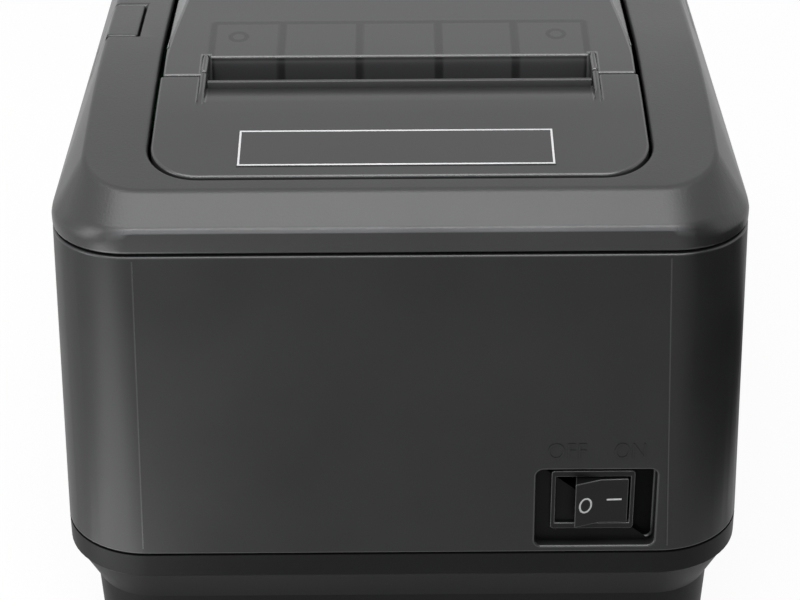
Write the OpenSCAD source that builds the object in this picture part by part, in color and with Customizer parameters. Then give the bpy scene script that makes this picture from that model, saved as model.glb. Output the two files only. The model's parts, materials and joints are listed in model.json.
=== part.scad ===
/* [Case] */
// Width of the case at the top rim
case_w = 145; // [135:1:160]
// Depth of the case at the top rim
case_d = 190; // [184:1:205]
// Radius of the four upright corners
corner_r = 17; // [12:0.5:22]
// How far the housing widens from the top to its lower edge, each side
draft = 2.2; // [1.6:0.1:2.5]
// Height of the main housing between its two seams
housing_h = 72.5; // [68:0.5:80]
// Thickness of the moulded walls
wall = 2.2; // [1.8:0.1:2.6]
// Height of the seams left between the case mouldings
seam = 0.4; // [0.2:0.1:0.6]

/* [Base] */
// Height of the rubber feet under the base
foot_h = 2; // [1.5:0.5:4]
// Radius of a rubber foot
foot_r = 7; // [5:0.5:9]
// Distance of a foot's centre from the side of the pedestal
foot_inset = 13; // [11:0.5:18]
// Height of the pedestal, from its floor to where it flares out
pedestal_h = 20.6; // [20:0.1:28]
// How far the pedestal stands in from the lip above it
pedestal_inset = 5.4; // [4:0.2:8]
// Height of the flare between the pedestal and the lip
flare_h = 9; // [5:0.5:10]
// Height of the lip's upright edge
lip_h = 6; // [3:0.2:7]

/* [Top rim] */
// Height of the upright band round the rim
band_h = 5.6; // [4:0.2:7]
// Fall of the band's upper edge from the front to the sides
side_drop = 2.4; // [0:0.2:3]
// Rise of the front bevel above the band
bevel_rise = 5.8; // [4:0.2:8]
// Depth of the front and rear bevels, seen from above
bevel_run = 6.4; // [5:0.2:8]
// Width of the side bevels, seen from above
bevel_side = 7.1; // [6:0.1:8]
// Slope of the front part of the top
top_slope = 11.5; // [10:0.5:13]
// Distance behind the front where the straight slope ends
crease_s = 30; // [26:1:34]
// Length of the rounded crown behind the crease
crown_len = 40; // [34:1:46]
// Slope of the rear part of the top, falling backwards
rear_slope = 1; // [0.5:0.5:2]

/* [Lid and cutter cover] */
// Half width of the opening in the rim
open_hw = 52.3; // [52:0.1:53]
// Distance of the opening's front edge behind the rim's front
open_front_s = 10.3; // [9.5:0.1:12]
// Radius of the opening's front corners
open_r = 11; // [8:0.5:12]
// Gap beside the lid
lid_gap = 1.1; // [0.8:0.1:1.3]
// Gap round the cutter cover
cover_gap = 0.65; // [0.4:0.05:0.9]
// Distance of the parting line between cover and lid behind the front
part_s = 46.8; // [45:0.2:48]
// Gap at that parting line
part_gap = 0.6; // [0.4:0.1:1]
// Half width of the paper slot
slot_hw = 41.6; // [41:0.1:42]
// Distance of the slot's front lip behind the rim's front
slot_front_s = 44.6; // [43:0.2:45]
// Distance of the slot's rear lip behind the rim's front
slot_rear_s = 54.2; // [53:0.2:56]
// Thickness of the cheeks at the ends of the slot
cheek_t = 1.4; // [1:0.1:2]
// Height of the cheeks above the surface
cheek_h = 0.9; // [0.4:0.1:1.4]
// Thickness of the lid's and the cover's walls
lid_wall = 2; // [1.6:0.1:2.2]
// Radius of the lid's long top arc
lid_arc_r = 503; // [450:1:600]
// Distance of the lid's highest line behind the rim's front
lid_crest_s = 130; // [125:1:135]
// Outer radius of the rolled rear edge of the lid
lid_roll_r = 6; // [5.5:0.1:6.5]
// Distance of the hinge axis from the rim's rear
hinge_inset = 15; // [14:0.5:18]
// Radius of the hinge pins
hinge_pin_r = 1.5; // [1.2:0.1:1.8]

/* [Paper path] */
// Largest paper roll that drops in, as a radius
roll_r = 41.5; // [38:0.5:42]
// Half of the paper's width
paper_hw = 40; // [38:0.5:40]
// Radius of the platen roller
platen_r = 6; // [5.5:0.1:6.5]
// Radius of the platen's steel shaft
platen_shaft_r = 2.5; // [2:0.1:3]
// Radius of the platen's bushes
bush_r = 4; // [3.6:0.1:4.4]
// Tilt of the print head from upright
head_tilt = 25; // [22:1:28]

/* [Gears] */
// Module of the paper feed gears
feed_m = 0.8; // [0.75:0.01:0.85]
// Teeth on the feed motor's pinion
motor_teeth = 14; // [14:2:14]
// Teeth on the large wheel of the reduction gear
wheel_teeth = 36; // [36:2:36]
// Teeth on the small wheel of the reduction gear
small_teeth = 16; // [16:2:16]
// Teeth on the platen's gear
platen_teeth = 18; // [18:2:18]
// Module of the cutter's gears
cut_m = 0.7; // [0.66:0.01:0.74]
// Teeth on the pinions that drive the blade's racks
pinion_teeth = 14; // [14:2:14]
// Teeth on the thumb gear
thumb_teeth = 16; // [16:2:16]
// Teeth on the cutter motor's pinion
cut_motor_teeth = 14; // [14:2:14]
// Play between meshing teeth
backlash = 0.25; // [0.15:0.05:0.35]

/* [Clearances] */
// Gap between two bodies that pass each other
run_gap = 0.4; // [0.3:0.05:0.5]
// Radial play of a shaft in its bearing
shaft_play = 0.05; // [0.02:0.01:0.09]

/* [Switch and buttons] */
// Width of the rocker switch's bezel
switch_w = 18; // [18:0.5:20]
// Height of the rocker switch's bezel
switch_h = 15; // [13:0.2:15.2]
// Distance of the switch's centre right of the middle
switch_x = 41; // [36:0.2:43]
// Height of the switch's centre above the housing's lower edge
switch_up = 12.6; // [12.4:0.2:20]
// Depth of the recess that the switch sits in
recess_depth = 3.2; // [2:0.2:4]
// Angle between the rocker's two positions
rocker_throw = 22; // [16:1:24]
// Distance of the feed button's middle behind the rim's front
feed_s = 76.1; // [74:0.1:80]
// Length of the feed button along the side
feed_len = 19; // [16:0.5:21]
// Travel of the feed button
feed_travel = 1.2; // [0.8:0.1:1.5]
// Distance of the release button's middle behind the rim's front
release_s = 104; // [103:1:106]
// Length of the lid release button along the side
release_len = 26; // [22:0.5:30]
// Travel of the lid release button
release_travel = 2.4; // [2:0.1:2.8]

/* [Hidden] */
// Faces per turn on moulded outlines and on machined round parts
moulded_fn = 48;
round_fn = 48;
$fn = round_fn;
eps = 0.01;

// Heights of the case, from the floor up
pedestal_z = foot_h;
flare_z = pedestal_z + pedestal_h;
lip_z = flare_z + flare_h;
base_top = lip_z + lip_h;
housing_z = base_top + seam;
housing_top = housing_z + housing_h;
rim_z = housing_top + seam;
band_top = rim_z + band_h;

// Plan sizes
front_y = -case_d / 2;
rear_y = case_d / 2;
low_w = case_w + 2 * draft;
low_d = case_d + 2 * draft;
ped_w = low_w - 2 * pedestal_inset;
pedestal_r = corner_r + draft - pedestal_inset;
ped_d = low_d - 2 * pedestal_inset;

// The rim's crown: a straight slope, a crown, then a straight fall to the rear
crown_start_z = band_top + bevel_rise;
crease_z = crown_start_z + (crease_s - bevel_run) * tan(top_slope);
crown_bend = (tan(top_slope) + tan(rear_slope)) / (2 * crown_len);
crown_end_s = crease_s + crown_len;
crown_end_z = crease_z + crown_len * tan(top_slope) - crown_bend * pow(crown_len, 2);
function crown(s) = s <= crease_s ? crown_start_z + (s - bevel_run) * tan(top_slope)
    : s <= crown_end_s ? crease_z + (s - crease_s) * tan(top_slope) - crown_bend * pow(s - crease_s, 2)
    : crown_end_z - (s - crown_end_s) * tan(rear_slope);

// The lid's long arc meets the crown at the parting line
lid_front_s = part_s + part_gap / 2;
cover_rear_s = part_s - part_gap / 2;
lid_crest_z = crown(lid_front_s) + pow(lid_crest_s - lid_front_s, 2) / (2 * lid_arc_r);
function lid_top(s) = lid_crest_z - pow(s - lid_crest_s, 2) / (2 * lid_arc_r);

// Hinge axis
hinge_y = rear_y - hinge_inset;
hinge_z = lid_top(hinge_y - front_y) - lid_roll_r;
open_rear_y = hinge_y + lid_roll_r + 0.6;
lid_hw = open_hw - lid_gap;
cover_hw = open_hw - cover_gap;
cover_front_s = open_front_s + cover_gap;
cover_r = open_r - cover_gap;

// Paper roll bay
bay_y = 14;
bay_r = roll_r + 2.5;
bay_hw = paper_hw + 1.5;
bay_wall = 1.4;
bay_z = 86;

// Platen and print head
platen_y = front_y + slot_rear_s + 4.7;
platen_z = 97.5;
rubber_hw = paper_hw + 0.5;
plate_t = 1.2;
plate_x = bay_hw + 1.7;
arm_t = 2;
arm_x = plate_x + plate_t + 0.6;
gear_w = 3;
platen_gear_x = arm_x + arm_t + 0.4;
latch_t = 1.2;
latch_x = platen_gear_x + gear_w + 0.4;
wheel_x = latch_x + latch_t + 0.8;
wheel_w = 3;
head_gap = 0.3;
head_board_t = 1.2;
sink_t = 4;

// Feed gears
platen_r_pitch = feed_m * platen_teeth / 2;
small_r_pitch = feed_m * small_teeth / 2;
wheel_r_pitch = feed_m * wheel_teeth / 2;
motor_r_pitch = feed_m * motor_teeth / 2;
mesh_1 = platen_r_pitch + small_r_pitch;
mesh_2 = wheel_r_pitch + motor_r_pitch;
mesh_1_dir = 233;
mesh_2_dir = 210;
idler_y = platen_y + mesh_1 * cos(mesh_1_dir);
idler_z = platen_z + mesh_1 * sin(mesh_1_dir);
motor_y = idler_y + mesh_2 * cos(mesh_2_dir);
motor_z = idler_z + mesh_2 * sin(mesh_2_dir);
motor_r = 12.5;
motor_len = 20;
stud_r = 1.5;
motor_shaft_r = 1;

// Cutter
blade_z = platen_z + 10;
blade_t = 1;
blade_hw = paper_hw + 2;
fixed_hw = slot_hw - 0.5;
blade_edge_y = platen_y - 14;
rack_w = 3;
rack_x = 18;
rack_len = 22;
rack_base_t = 1.2;
rack_pitch_z = blade_z + blade_t + rack_base_t + cut_m;
pinion_r_pitch = cut_m * pinion_teeth / 2;
thumb_r_pitch = cut_m * thumb_teeth / 2;
cut_motor_r_pitch = cut_m * cut_motor_teeth / 2;
cut_shaft_y = platen_y - 38;
cut_shaft_z = rack_pitch_z + pinion_r_pitch;
cut_shaft_r = 2;
cut_mesh = thumb_r_pitch + cut_motor_r_pitch;
cut_mesh_dir = 228;
cut_motor_y = cut_shaft_y + cut_mesh * cos(cut_mesh_dir);
cut_motor_z = cut_shaft_z + cut_mesh * sin(cut_mesh_dir);
cut_motor_r = 7.5;
cut_motor_len = 18;
cut_wall_x = plate_x + plate_t - 1.2;
cut_wall_t = 1.2;
cut_floor_z = blade_z - 3;
cut_floor_t = 1.2;
thumb_x = cut_wall_x + cut_wall_t + 0.5;
thumb_w = 3.6;

// Switch
switch_z = housing_z + switch_up;
recess_w = switch_w + 7.9;
recess_h = switch_h + 4.4;
recess_x = 0.6;
recess_low = 1.3;

// Buttons on the rim's side bevels
feed_y = front_y + feed_s;
release_y = front_y + release_s;
button_in = 14.2;
button_gap = 0.35;
button_cut_z = band_top + 2;
button_seat_z = band_top + 9.5;
button_wall = 1.3;
skirt_z = band_top - 1.1;
skirt_out = 66.8;
spring_x = case_w / 2 - 9.8;
spring_seat_z = rim_z + 1.6;

// Indicator lights on the left of the rim
light_x = -(open_hw + 6.4);
light_y = front_y + 104;
light_pitch = 10;
light_r = 1.25;

// Latch
latch_y = platen_y + 18;
latch_z = platen_z - 7;
latch_arm = 20.5;

// Outline of the case in plan, centred, with rounded corners
module outline(w, d, r) {
    hull() {
        for (x = [-1, 1], y = [-1, 1]) {
            translate([x * (w / 2 - r), y * (d / 2 - r)]) circle(r, $fn = moulded_fn);
        }
    }
}

// Rounded rectangle of exact arcs and lines
module rounded(w, d, r) {
    square([w - 2 * r, d], center = true);
    square([w, d - 2 * r], center = true);
    for (x = [-1, 1], y = [-1, 1]) {
        translate([x * (w / 2 - r), y * (d / 2 - r)]) circle(r);
    }
}

// Upright block whose corners are cones and whose walls lean: w, d and r at z0, grown by grow at z1
module drafted(w, d, r, z0, z1, grow) {
    cx = w / 2 - r;
    cy = d / 2 - r;
    rotate([90, 0, 0]) translate([0, 0, -cy]) linear_extrude(2 * cy)
        polygon([[-w / 2, z0], [w / 2, z0], [w / 2 + grow, z1], [-w / 2 - grow, z1]]);
    rotate([90, 0, 90]) translate([0, 0, -cx]) linear_extrude(2 * cx)
        polygon([[-d / 2, z0], [d / 2, z0], [d / 2 + grow, z1], [-d / 2 - grow, z1]]);
    for (x = [-1, 1], y = [-1, 1]) {
        translate([x * cx, y * cy, z0]) cylinder(r1 = r, r2 = r + grow, h = z1 - z0);
    }
}

// A box given by its lowest and highest corners
module span(a, b) {
    translate(a) cube(b - a);
}

// A cylinder along X from x0 to x1 on the axis (y, z)
module along_x(x0, x1, y, z, r) {
    translate([x0, y, z]) rotate([0, 90, 0]) cylinder(r = r, h = x1 - x0);
}

// A profile drawn in (y, z), extruded along X from x0 to x1
module side_profile(x0, x1) {
    translate([x0, 0, 0]) rotate([90, 0, 90]) linear_extrude(x1 - x0) children();
}

// Points of the crown from one station to another, lowered by drop
function crown_points(s0, s1, drop = 0, n = 24) =
    [for (i = [0 : n]) let (s = s0 + (s1 - s0) * i / n) [front_y + s, crown(s) - drop]];

function lid_points(s0, s1, drop = 0, n = 20) =
    [for (i = [0 : n]) let (s = s0 + (s1 - s0) * i / n) [front_y + s, lid_top(s) - drop]];

// Polar angle of an involute flank from the tooth's middle, at radius r
function inv(a) = tan(a) - a * PI / 180;
function flank(r, rp, half) = half + (inv(20) - inv(acos(min(1, rp * cos(20) / r)))) * 180 / PI;

// Spur gear outline with involute flanks, a tooth centred on the turned X axis
module gear_outline(m, teeth, turn = 0) {
    rp = m * teeth / 2;
    ra = rp + 0.85 * m;
    rf = rp - 1.2 * m;
    rb = max(rp * cos(20) + eps, rf + 0.2 * m);
    half = 90 / teeth - backlash / (4 * rp) * 180 / PI;
    steps = [rb, (rb + rp) / 2, rp, (rp + ra) / 2, ra];
    polygon([for (i = [0 : teeth - 1]) let (mid = turn + i * 360 / teeth) each concat(
        [rf * [cos(mid - flank(rb, rp, half)), sin(mid - flank(rb, rp, half))]],
        [for (r = steps) r * [cos(mid - flank(r, rp, half)), sin(mid - flank(r, rp, half))]],
        [for (j = [4 : -1 : 0]) let (r = steps[j])
            r * [cos(mid + flank(r, rp, half)), sin(mid + flank(r, rp, half))]],
        [rf * [cos(mid + flank(rb, rp, half)), sin(mid + flank(rb, rp, half))]])]);
}

// A spur gear on an axis along X, from x0, with its bore
module spur(x0, width, y, z, m, teeth, bore_r, turn = 0) {
    translate([x0, y, z]) rotate([90, 0, 90]) linear_extrude(width) {
        difference() {
            gear_outline(m, teeth, turn);
            circle(bore_r);
        }
    }
}

// Helical spring of round wire, standing on z = 0
module coil_spring(r, wire_r, h, turns) {
    rings = turns * 10;
    sides = 6;
    points = [for (i = [0 : rings]) let (a = 360 * turns * i / rings, z = wire_r + (h - 2 * wire_r) * i / rings)
        for (j = [0 : sides - 1]) let (b = 360 * j / sides)
            [(r + wire_r * cos(b)) * cos(a), (r + wire_r * cos(b)) * sin(a), z + wire_r * sin(b)]];
    walls = [for (i = [0 : rings - 1], j = [0 : sides - 1]) let (k = (j + 1) % sides) each
        [[i * sides + j, (i + 1) * sides + j, (i + 1) * sides + k], [i * sides + j, (i + 1) * sides + k, i * sides + k]]];
    polyhedron(points, concat(walls, [[for (j = [0 : sides - 1]) j]],
        [[for (j = [sides - 1 : -1 : 0]) rings * sides + j]]), convexity = 8);
}

// ---------- case ----------

screw_x = ped_w / 2 - 10;
screw_y = ped_d / 2 - 12;
screw_r = 1.5;
panel_w = 84;
panel_h = 22;
panel_z = pedestal_z + 3;
panel_t = 1.2;
hatch_hw = 26;
hatch_hd = 12;
hatch_y = -50;
hatch_gap = 0.4;
board_z = pedestal_z + 6;
board_t = 1.6;
board_w = 76;
board_d = 96;
board_y = 34;

// The base's outer form, narrowed by inset: pedestal, flare and lip
module base_outer(inset) {
    drafted(ped_w - 2 - 2 * inset, ped_d - 2 - 2 * inset, pedestal_r - 1 - inset, pedestal_z, flare_z, 1);
    drafted(ped_w - 2 * inset, ped_d - 2 * inset, pedestal_r - inset, flare_z - eps, lip_z, pedestal_inset - 0.8);
    drafted(low_w - 1.6 - 2 * inset, low_d - 1.6 - 2 * inset, corner_r + draft - 0.8 - inset, lip_z - eps, lip_z + 0.8, 0.8);
    drafted(low_w - 2 * inset, low_d - 2 * inset, corner_r + draft - inset, lip_z + 0.8 - eps, base_top, 0);
}

module base_case() {
    color("#26272a") difference() {
        union() {
            difference() {
                base_outer(0);
                translate([0, 0, wall]) base_outer(wall);
            }
            for (x = [-1, 1], y = [-1, 1]) {
                translate([x * screw_x, y * screw_y, pedestal_z + eps])
                    cylinder(r = 3.6, h = base_top - pedestal_z - eps);
            }
            for (x = [-1, 1]) {
                for (y = mech_leg_y) {
                    translate([x * mech_leg_x, y, pedestal_z + 1]) cylinder(r = 5, h = post_z - pedestal_z - 1);
                }
                for (y = well_leg_y) {
                    translate([x * well_leg_x, y, pedestal_z + 1]) cylinder(r = 5, h = post_z - pedestal_z - 1);
                }
            }
            for (x = [-1, 1], y = [-1, 1]) {
                translate([x * (board_w / 2 - 5), board_y + y * (board_d / 2 - 5), pedestal_z + 1])
                    cylinder(r = 3, h = board_z - pedestal_z - 1);
            }
        }
        for (x = [-1, 1], y = [-1, 1]) {
            translate([x * screw_x, y * screw_y, pedestal_z - 1]) cylinder(r = 3, h = 9);
            translate([x * screw_x, y * screw_y, pedestal_z - 1])
                cylinder(r = screw_r + shaft_play, h = base_top);
        }
        span([-hatch_hw, hatch_y - hatch_hd, pedestal_z - 1], [hatch_hw, hatch_y + hatch_hd, pedestal_z + wall + 1]);
        translate([0, rear_y - 8, panel_z + panel_h / 2])
            cube([panel_w, 40, panel_h], center = true);
    }
}

// Vented hatch in the floor, dropped in from above on a thin flange
module bottom_cover() {
    color("#2b2c2f") difference() {
        union() {
            span([-hatch_hw + hatch_gap, hatch_y - hatch_hd + hatch_gap, pedestal_z],
                [hatch_hw - hatch_gap, hatch_y + hatch_hd - hatch_gap, pedestal_z + wall + eps]);
            span([-hatch_hw - 2.5, hatch_y - hatch_hd - 2.5, pedestal_z + wall],
                [hatch_hw + 2.5, hatch_y + hatch_hd + 2.5, pedestal_z + wall + 1.2]);
        }
        for (x = [-18 : 6 : 18]) {
            span([x - 1.2, hatch_y - hatch_hd + 5, pedestal_z - 1], [x + 1.2, hatch_y + hatch_hd - 5, pedestal_z + wall + 2]);
        }
    }
}

module rubber_feet() {
    foot_x = ped_w / 2 - 1 - foot_inset;
    foot_y = ped_d / 2 - 1 - foot_inset - 16;
    color("#111111") for (x = [-1, 1], y = [-1, 1]) {
        translate([x * foot_x, y * foot_y, 0]) {
            cylinder(r = foot_r - 0.5, h = 0.6);
            translate([0, 0, 0.5]) cylinder(r = foot_r, h = foot_h - 0.5);
        }
    }
}

module case_screws() {
    color("silver") for (x = [-1, 1], y = [-1, 1]) {
        translate([x * screw_x, y * screw_y, pedestal_z + 5.9]) difference() {
            union() {
                cylinder(r = 2.8, h = 2.1);
                cylinder(r = screw_r, h = base_top - pedestal_z - 8);
            }
            translate([0, 0, -eps]) cylinder(r = 1.2, h = 1.2, $fn = 6);
        }
    }
}

// The housing's outer form, narrowed by inset and run out past its ends by past
module housing_outer(inset = 0, past = 0) {
    lean = draft / housing_h;
    drafted(low_w - 2 * inset + 2 * lean * past, low_d - 2 * inset + 2 * lean * past,
        corner_r + draft - inset + lean * past, housing_z - past, housing_top + past,
        -draft - 2 * lean * past);
}

// Cut for the switch: a stepped recess and the hole for its body
module switch_cut() {
    translate([switch_x, -low_d / 2 + draft * switch_up / housing_h, switch_z]) rotate([90, 0, 0]) {
        translate([recess_x, -recess_low, -recess_depth]) linear_extrude(20) rounded(recess_w, recess_h, 1.6);
        translate([0, 0, -30]) linear_extrude(40)
            square([switch_w - 1.8, switch_h - 1.8], center = true);
    }
}

module main_housing() {
    color("#3a3b3e") difference() {
        union() {
            difference() {
                housing_outer();
                housing_outer(wall, 1);
            }
            intersection() {
                housing_outer();
                translate([switch_x + recess_x, -low_d / 2, switch_z - recess_low])
                    cube([recess_w + 3, 2 * (recess_depth + wall + 0.8), recess_h + 3], center = true);
            }
            for (x = [-1, 1], y = [-1, 1]) {
                translate([x * screw_x, y * screw_y, housing_z]) cylinder(r = 3.6, h = 14);
                translate([x * screw_x - 1, y * (low_d / 2 - wall + screw_y) / 2 - (low_d / 2 - wall - screw_y) / 2 - 0.5,
                    housing_z]) cube([2, low_d / 2 - wall - screw_y + 1, 14]);
            }
        }
        switch_cut();
        for (x = [-1, 1], y = [-1, 1]) {
            translate([x * screw_x, y * screw_y, housing_z - 1]) cylinder(r = screw_r + shaft_play, h = 12);
        }
    }
}

module rim_outer() {
    hull() {
        translate([0, 0, rim_z]) linear_extrude(band_h - side_drop) outline(case_w, case_d, corner_r);
        translate([0, 0, rim_z]) linear_extrude(band_h) outline(case_w - 1.75 * side_drop, case_d, corner_r);
        intersection() {
            side_profile(-case_w / 2, case_w / 2) polygon(concat(
                [[rear_y - bevel_run, rim_z + 1], [front_y + bevel_run, rim_z + 1]],
                crown_points(bevel_run, case_d - bevel_run)));
            translate([0, 0, rim_z]) linear_extrude(60)
                outline(case_w - 2 * bevel_side, case_d - 2 * bevel_run, corner_r - 4);
        }
    }
}

module opening_2d(hw, s_front, y_rear, r) {
    translate([-hw, front_y + s_front + r]) square([2 * hw, y_rear - front_y - s_front - r]);
    translate([-hw + r, front_y + s_front]) square([2 * hw - 2 * r, r + 1]);
    for (x = [-1, 1]) {
        translate([x * (hw - r), front_y + s_front + r]) circle(r);
    }
}

// The hollow of the rim, open below
module rim_void() {
    hull() {
        translate([0, 0, rim_z - 1]) linear_extrude(band_h + 1 - wall / 2)
            outline(case_w - 2 * wall, case_d - 2 * wall, corner_r - wall);
        intersection() {
            side_profile(-case_w / 2, case_w / 2) polygon(concat(
                [[rear_y - bevel_run - wall / 2, rim_z + 1], [front_y + bevel_run + wall / 2, rim_z + 1]],
                crown_points(bevel_run + wall / 2, case_d - bevel_run - wall / 2, wall)));
            translate([0, 0, rim_z]) linear_extrude(60)
                outline(case_w - 2 * bevel_side - 1.2 * wall, case_d - 2 * bevel_run - wall, corner_r - 4);
        }
    }
}

module top_rim() {
    color("#58595b") difference() {
        union() {
            difference() {
                rim_outer();
                rim_void();
            }
            intersection() {
                rim_outer();
                for (y = board_post_y) {
                    translate([-spring_x, y, rim_z]) cylinder(r = 1.8, h = 40);
                }
            }
            for (y = board_post_y) {
                translate([-spring_x, y, light_floor_z]) cylinder(r = 1.8, h = 4);
            }
            span([spring_x - 5, release_y - 5, rim_z], [case_w / 2 - wall + 0.4, release_y + 5, spring_seat_z]);
        }
        translate([0, 0, rim_z - 1]) linear_extrude(60) opening_2d(open_hw, open_front_s, open_rear_y, open_r);
        button_cut(-1, feed_y, feed_len);
        button_cut(1, release_y, release_len);
        for (i = [0 : 2]) {
            translate([light_x, light_y + i * light_pitch, rim_z]) cylinder(r = light_r, h = 40);
        }
    }
}

module button_cut(side, y, len) {
    translate([side * (case_w / 2 - button_in), y - len / 2, button_cut_z])
        mirror([side < 0 ? 1 : 0, 0, 0]) cube([40, len, 40]);
}

// ---------- paper bay and mechanism ----------

ear_x = bay_hw + bay_wall + 0.9;
ear_t = 1.4;
ear_r = 3;
plate_z = platen_z - 40;
mech_leg_x = plate_x - 8;
mech_front_y = front_y + wall + 1.2;
mech_chamfer = 4.5;
guide_y = platen_y + 5;
guide_top = platen_z - 17;
mech_leg_y = [-66, -40];
guide_foot_y = platen_y + 6.5;
well_leg_x = bay_hw + bay_wall + 3.4;
well_leg_y = [-8, 36];
post_z = housing_z - 6;
well_floor_z = bay_z - bay_r - bay_wall;
well_rear_y = bay_y + bay_r + bay_wall;
well_top_z = hinge_z - 8;
pin_len = 6;
pin_mid_x = ear_x + ear_t / 2 + 0.8;

module paper_well() {
    color("#303134") difference() {
        union() {
            side_profile(-bay_hw - bay_wall, bay_hw + bay_wall) intersection() {
                union() {
                    translate([bay_y, bay_z]) circle(bay_r + bay_wall);
                    translate([bay_y, bay_z]) square([bay_r + bay_wall, 60]);
                }
                translate([-200, 0]) square([400, well_top_z]);
            }
            for (x = [-1, 1]) {
                side_profile(x * ear_x - ear_t / 2, x * ear_x + ear_t / 2) {
                    translate([hinge_y, hinge_z]) circle(ear_r);
                    translate([well_rear_y - 14, well_top_z - 16]) square([hinge_y - well_rear_y + 14 + ear_r, 16]);
                    translate([hinge_y - ear_r, well_top_z - 1]) square([2 * ear_r, hinge_z - well_top_z + 1]);
                }
            }
            for (x = [-1, 1], y = well_leg_y) {
                span([x * well_leg_x - 3.5, y - 3, post_z], [x * well_leg_x + 3.5, y + 3, bay_z - 12]);
            }
        }
        side_profile(-bay_hw, bay_hw) {
            translate([bay_y, bay_z]) circle(bay_r);
            translate([bay_y, bay_z]) square([bay_r, 60]);
            translate([bay_y - bay_r - 10, bay_z - 22]) square([bay_r, 80]);
        }
        side_profile(-80, 80) translate([bay_y - bay_r - 10, bay_z - 14]) square([24, 80]);
        along_x(-80, 80, hinge_y, hinge_z, hinge_pin_r + shaft_play);
    }
}

module hinge_pins() {
    color("silver") for (x = [-1, 1]) {
        along_x(x * pin_mid_x - pin_len / 2, x * pin_mid_x + pin_len / 2, hinge_y, hinge_z, hinge_pin_r);
    }
}

// A mechanism side plate, with the notch that the platen's bush drops into
module mech_plate(x0) {
    notch = bush_r + head_gap;
    lean = 4;
    difference() {
        side_profile(x0, x0 + plate_t) {
            difference() {
                union() {
                    polygon([[mech_front_y, cut_floor_z], [mech_front_y, plate_z + mech_chamfer],
                        [mech_front_y + mech_chamfer, plate_z], [platen_y - 14, plate_z], [platen_y - 14, cut_floor_z]]);
                    translate([platen_y - 18, plate_z]) square([38, platen_z + 3 - plate_z]);
                }
                polygon([[platen_y + notch, platen_z], [platen_y + notch, platen_z + 12],
                    [platen_y - notch - lean, platen_z + 12], [platen_y - notch, platen_z]]);
                translate([mech_front_y + 9, plate_z + 10]) square([20, 8]);
            }
        }
        along_x(x0 - 1, x0 + plate_t + 1, platen_y, platen_z, notch);
        children();
    }
}
module mech_plate_left() {
    color("silver") mech_plate(-plate_x - plate_t) {
        along_x(-60, -30, motor_y, motor_z - 6, 2);
    }
}

module mech_plate_right() {
    color("silver") mech_plate(plate_x) {
        along_x(30, 60, motor_y, motor_z, 4);
        along_x(30, 60, idler_y, idler_z, stud_r);
        along_x(30, 60, latch_y, latch_z, stud_r);
    }
}

// Folded cross beams that join the two side plates, the beam behind the head, and the legs
module mech_crossbar() {
    color("silver") {
        side_profile(-plate_x, plate_x) polygon([[mech_front_y, cut_floor_z - 1], [mech_front_y, plate_z + mech_chamfer],
            [mech_front_y + mech_chamfer, plate_z], [guide_foot_y, plate_z], [guide_foot_y, plate_z + plate_t],
            [mech_front_y + mech_chamfer + 0.5, plate_z + plate_t],
            [mech_front_y + plate_t, plate_z + mech_chamfer + 0.5], [mech_front_y + plate_t, cut_floor_z - 1]]);
        at_head() span([-plate_x, head_board_t + sink_t + 0.2 + spring_len, -33],
            [plate_x, head_board_t + sink_t + 1.4 + spring_len, 1]);
        for (x = [-1, 1], y = mech_leg_y) {
            translate([x * mech_leg_x, y, post_z]) cylinder(r = 4, h = plate_z + 0.6 - post_z);
        }
    }
}

// Runs its children in the head's own frame: X across, Y away from the platen, Z along the board
module at_head() {
    translate([0, platen_y, platen_z]) rotate([head_tilt, 0, 0]) translate([0, -platen_r - head_gap, 0])
        mirror([0, 1, 0]) children();
}

module print_head() {
    color("#c9c3b4") at_head() difference() {
        span([-plate_x + 0.3, 0, -13], [plate_x - 0.3, head_board_t, 4.5]);
        for (x = [-1, 1]) {
            translate([x * 30, -1, -10]) rotate([-90, 0, 0]) cylinder(r = 1.5, h = 5);
        }
    }
}

module head_heatsink() {
    color("silver") at_head() {
        span([-plate_x + 0.3, head_board_t, -15], [plate_x - 0.3, head_board_t + 2, 6]);
        for (z = [-13 : 4 : 5]) {
            span([-plate_x + 6, head_board_t + 2 - eps, z], [plate_x - 6, head_board_t + sink_t, z + 1.4]);
        }
    }
}

spring_len = 6;
module head_springs() {
    color("silver") at_head() for (x = [-24, 0, 24]) {
        translate([x, head_board_t + sink_t + 0.1, -4.3]) rotate([-90, 0, 0])
            coil_spring(2.4, 0.4, spring_len, 4);
    }
}

module feed_motor() {
    color("silver") {
        along_x(plate_x - motor_len, plate_x, motor_y, motor_z, motor_r);
        along_x(plate_x - motor_len - 1, plate_x - motor_len + eps, motor_y, motor_z, 4);
        along_x(plate_x - eps, plate_x + plate_t, motor_y, motor_z, 3.9);
        along_x(plate_x, wheel_x + wheel_w + 1, motor_y, motor_z, motor_shaft_r);
    }
}

module gear_studs() {
    color("silver") {
        along_x(plate_x, wheel_x + wheel_w + 1.4, idler_y, idler_z, stud_r);
        along_x(wheel_x + wheel_w + 0.4, wheel_x + wheel_w + 1.4, idler_y, idler_z, stud_r + 1.2);
        along_x(plate_x, latch_x + latch_t + 0.8, latch_y, latch_z, stud_r);
        along_x(latch_x + latch_t + 0.3, latch_x + latch_t + 0.8, latch_y, latch_z, stud_r + 1.2);
    }
}

module paper_guide() {
    color("#2b2c2f") difference() {
        side_profile(-bay_hw + 0.3, bay_hw - 0.3) polygon([
            [guide_foot_y, plate_z + 1.2], [guide_foot_y - 0.5, plate_z + 2.6], [guide_y, guide_top],
            [guide_y - 1.8, guide_top], [guide_y - 1.6, plate_z + 2.6], [guide_y - 7, plate_z + 2.6],
            [guide_y - 7, plate_z + 1.2]]);
        span([-6, guide_y - 10, guide_top - 9], [6, guide_y + 10, guide_top - 4]);
    }
}

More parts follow.
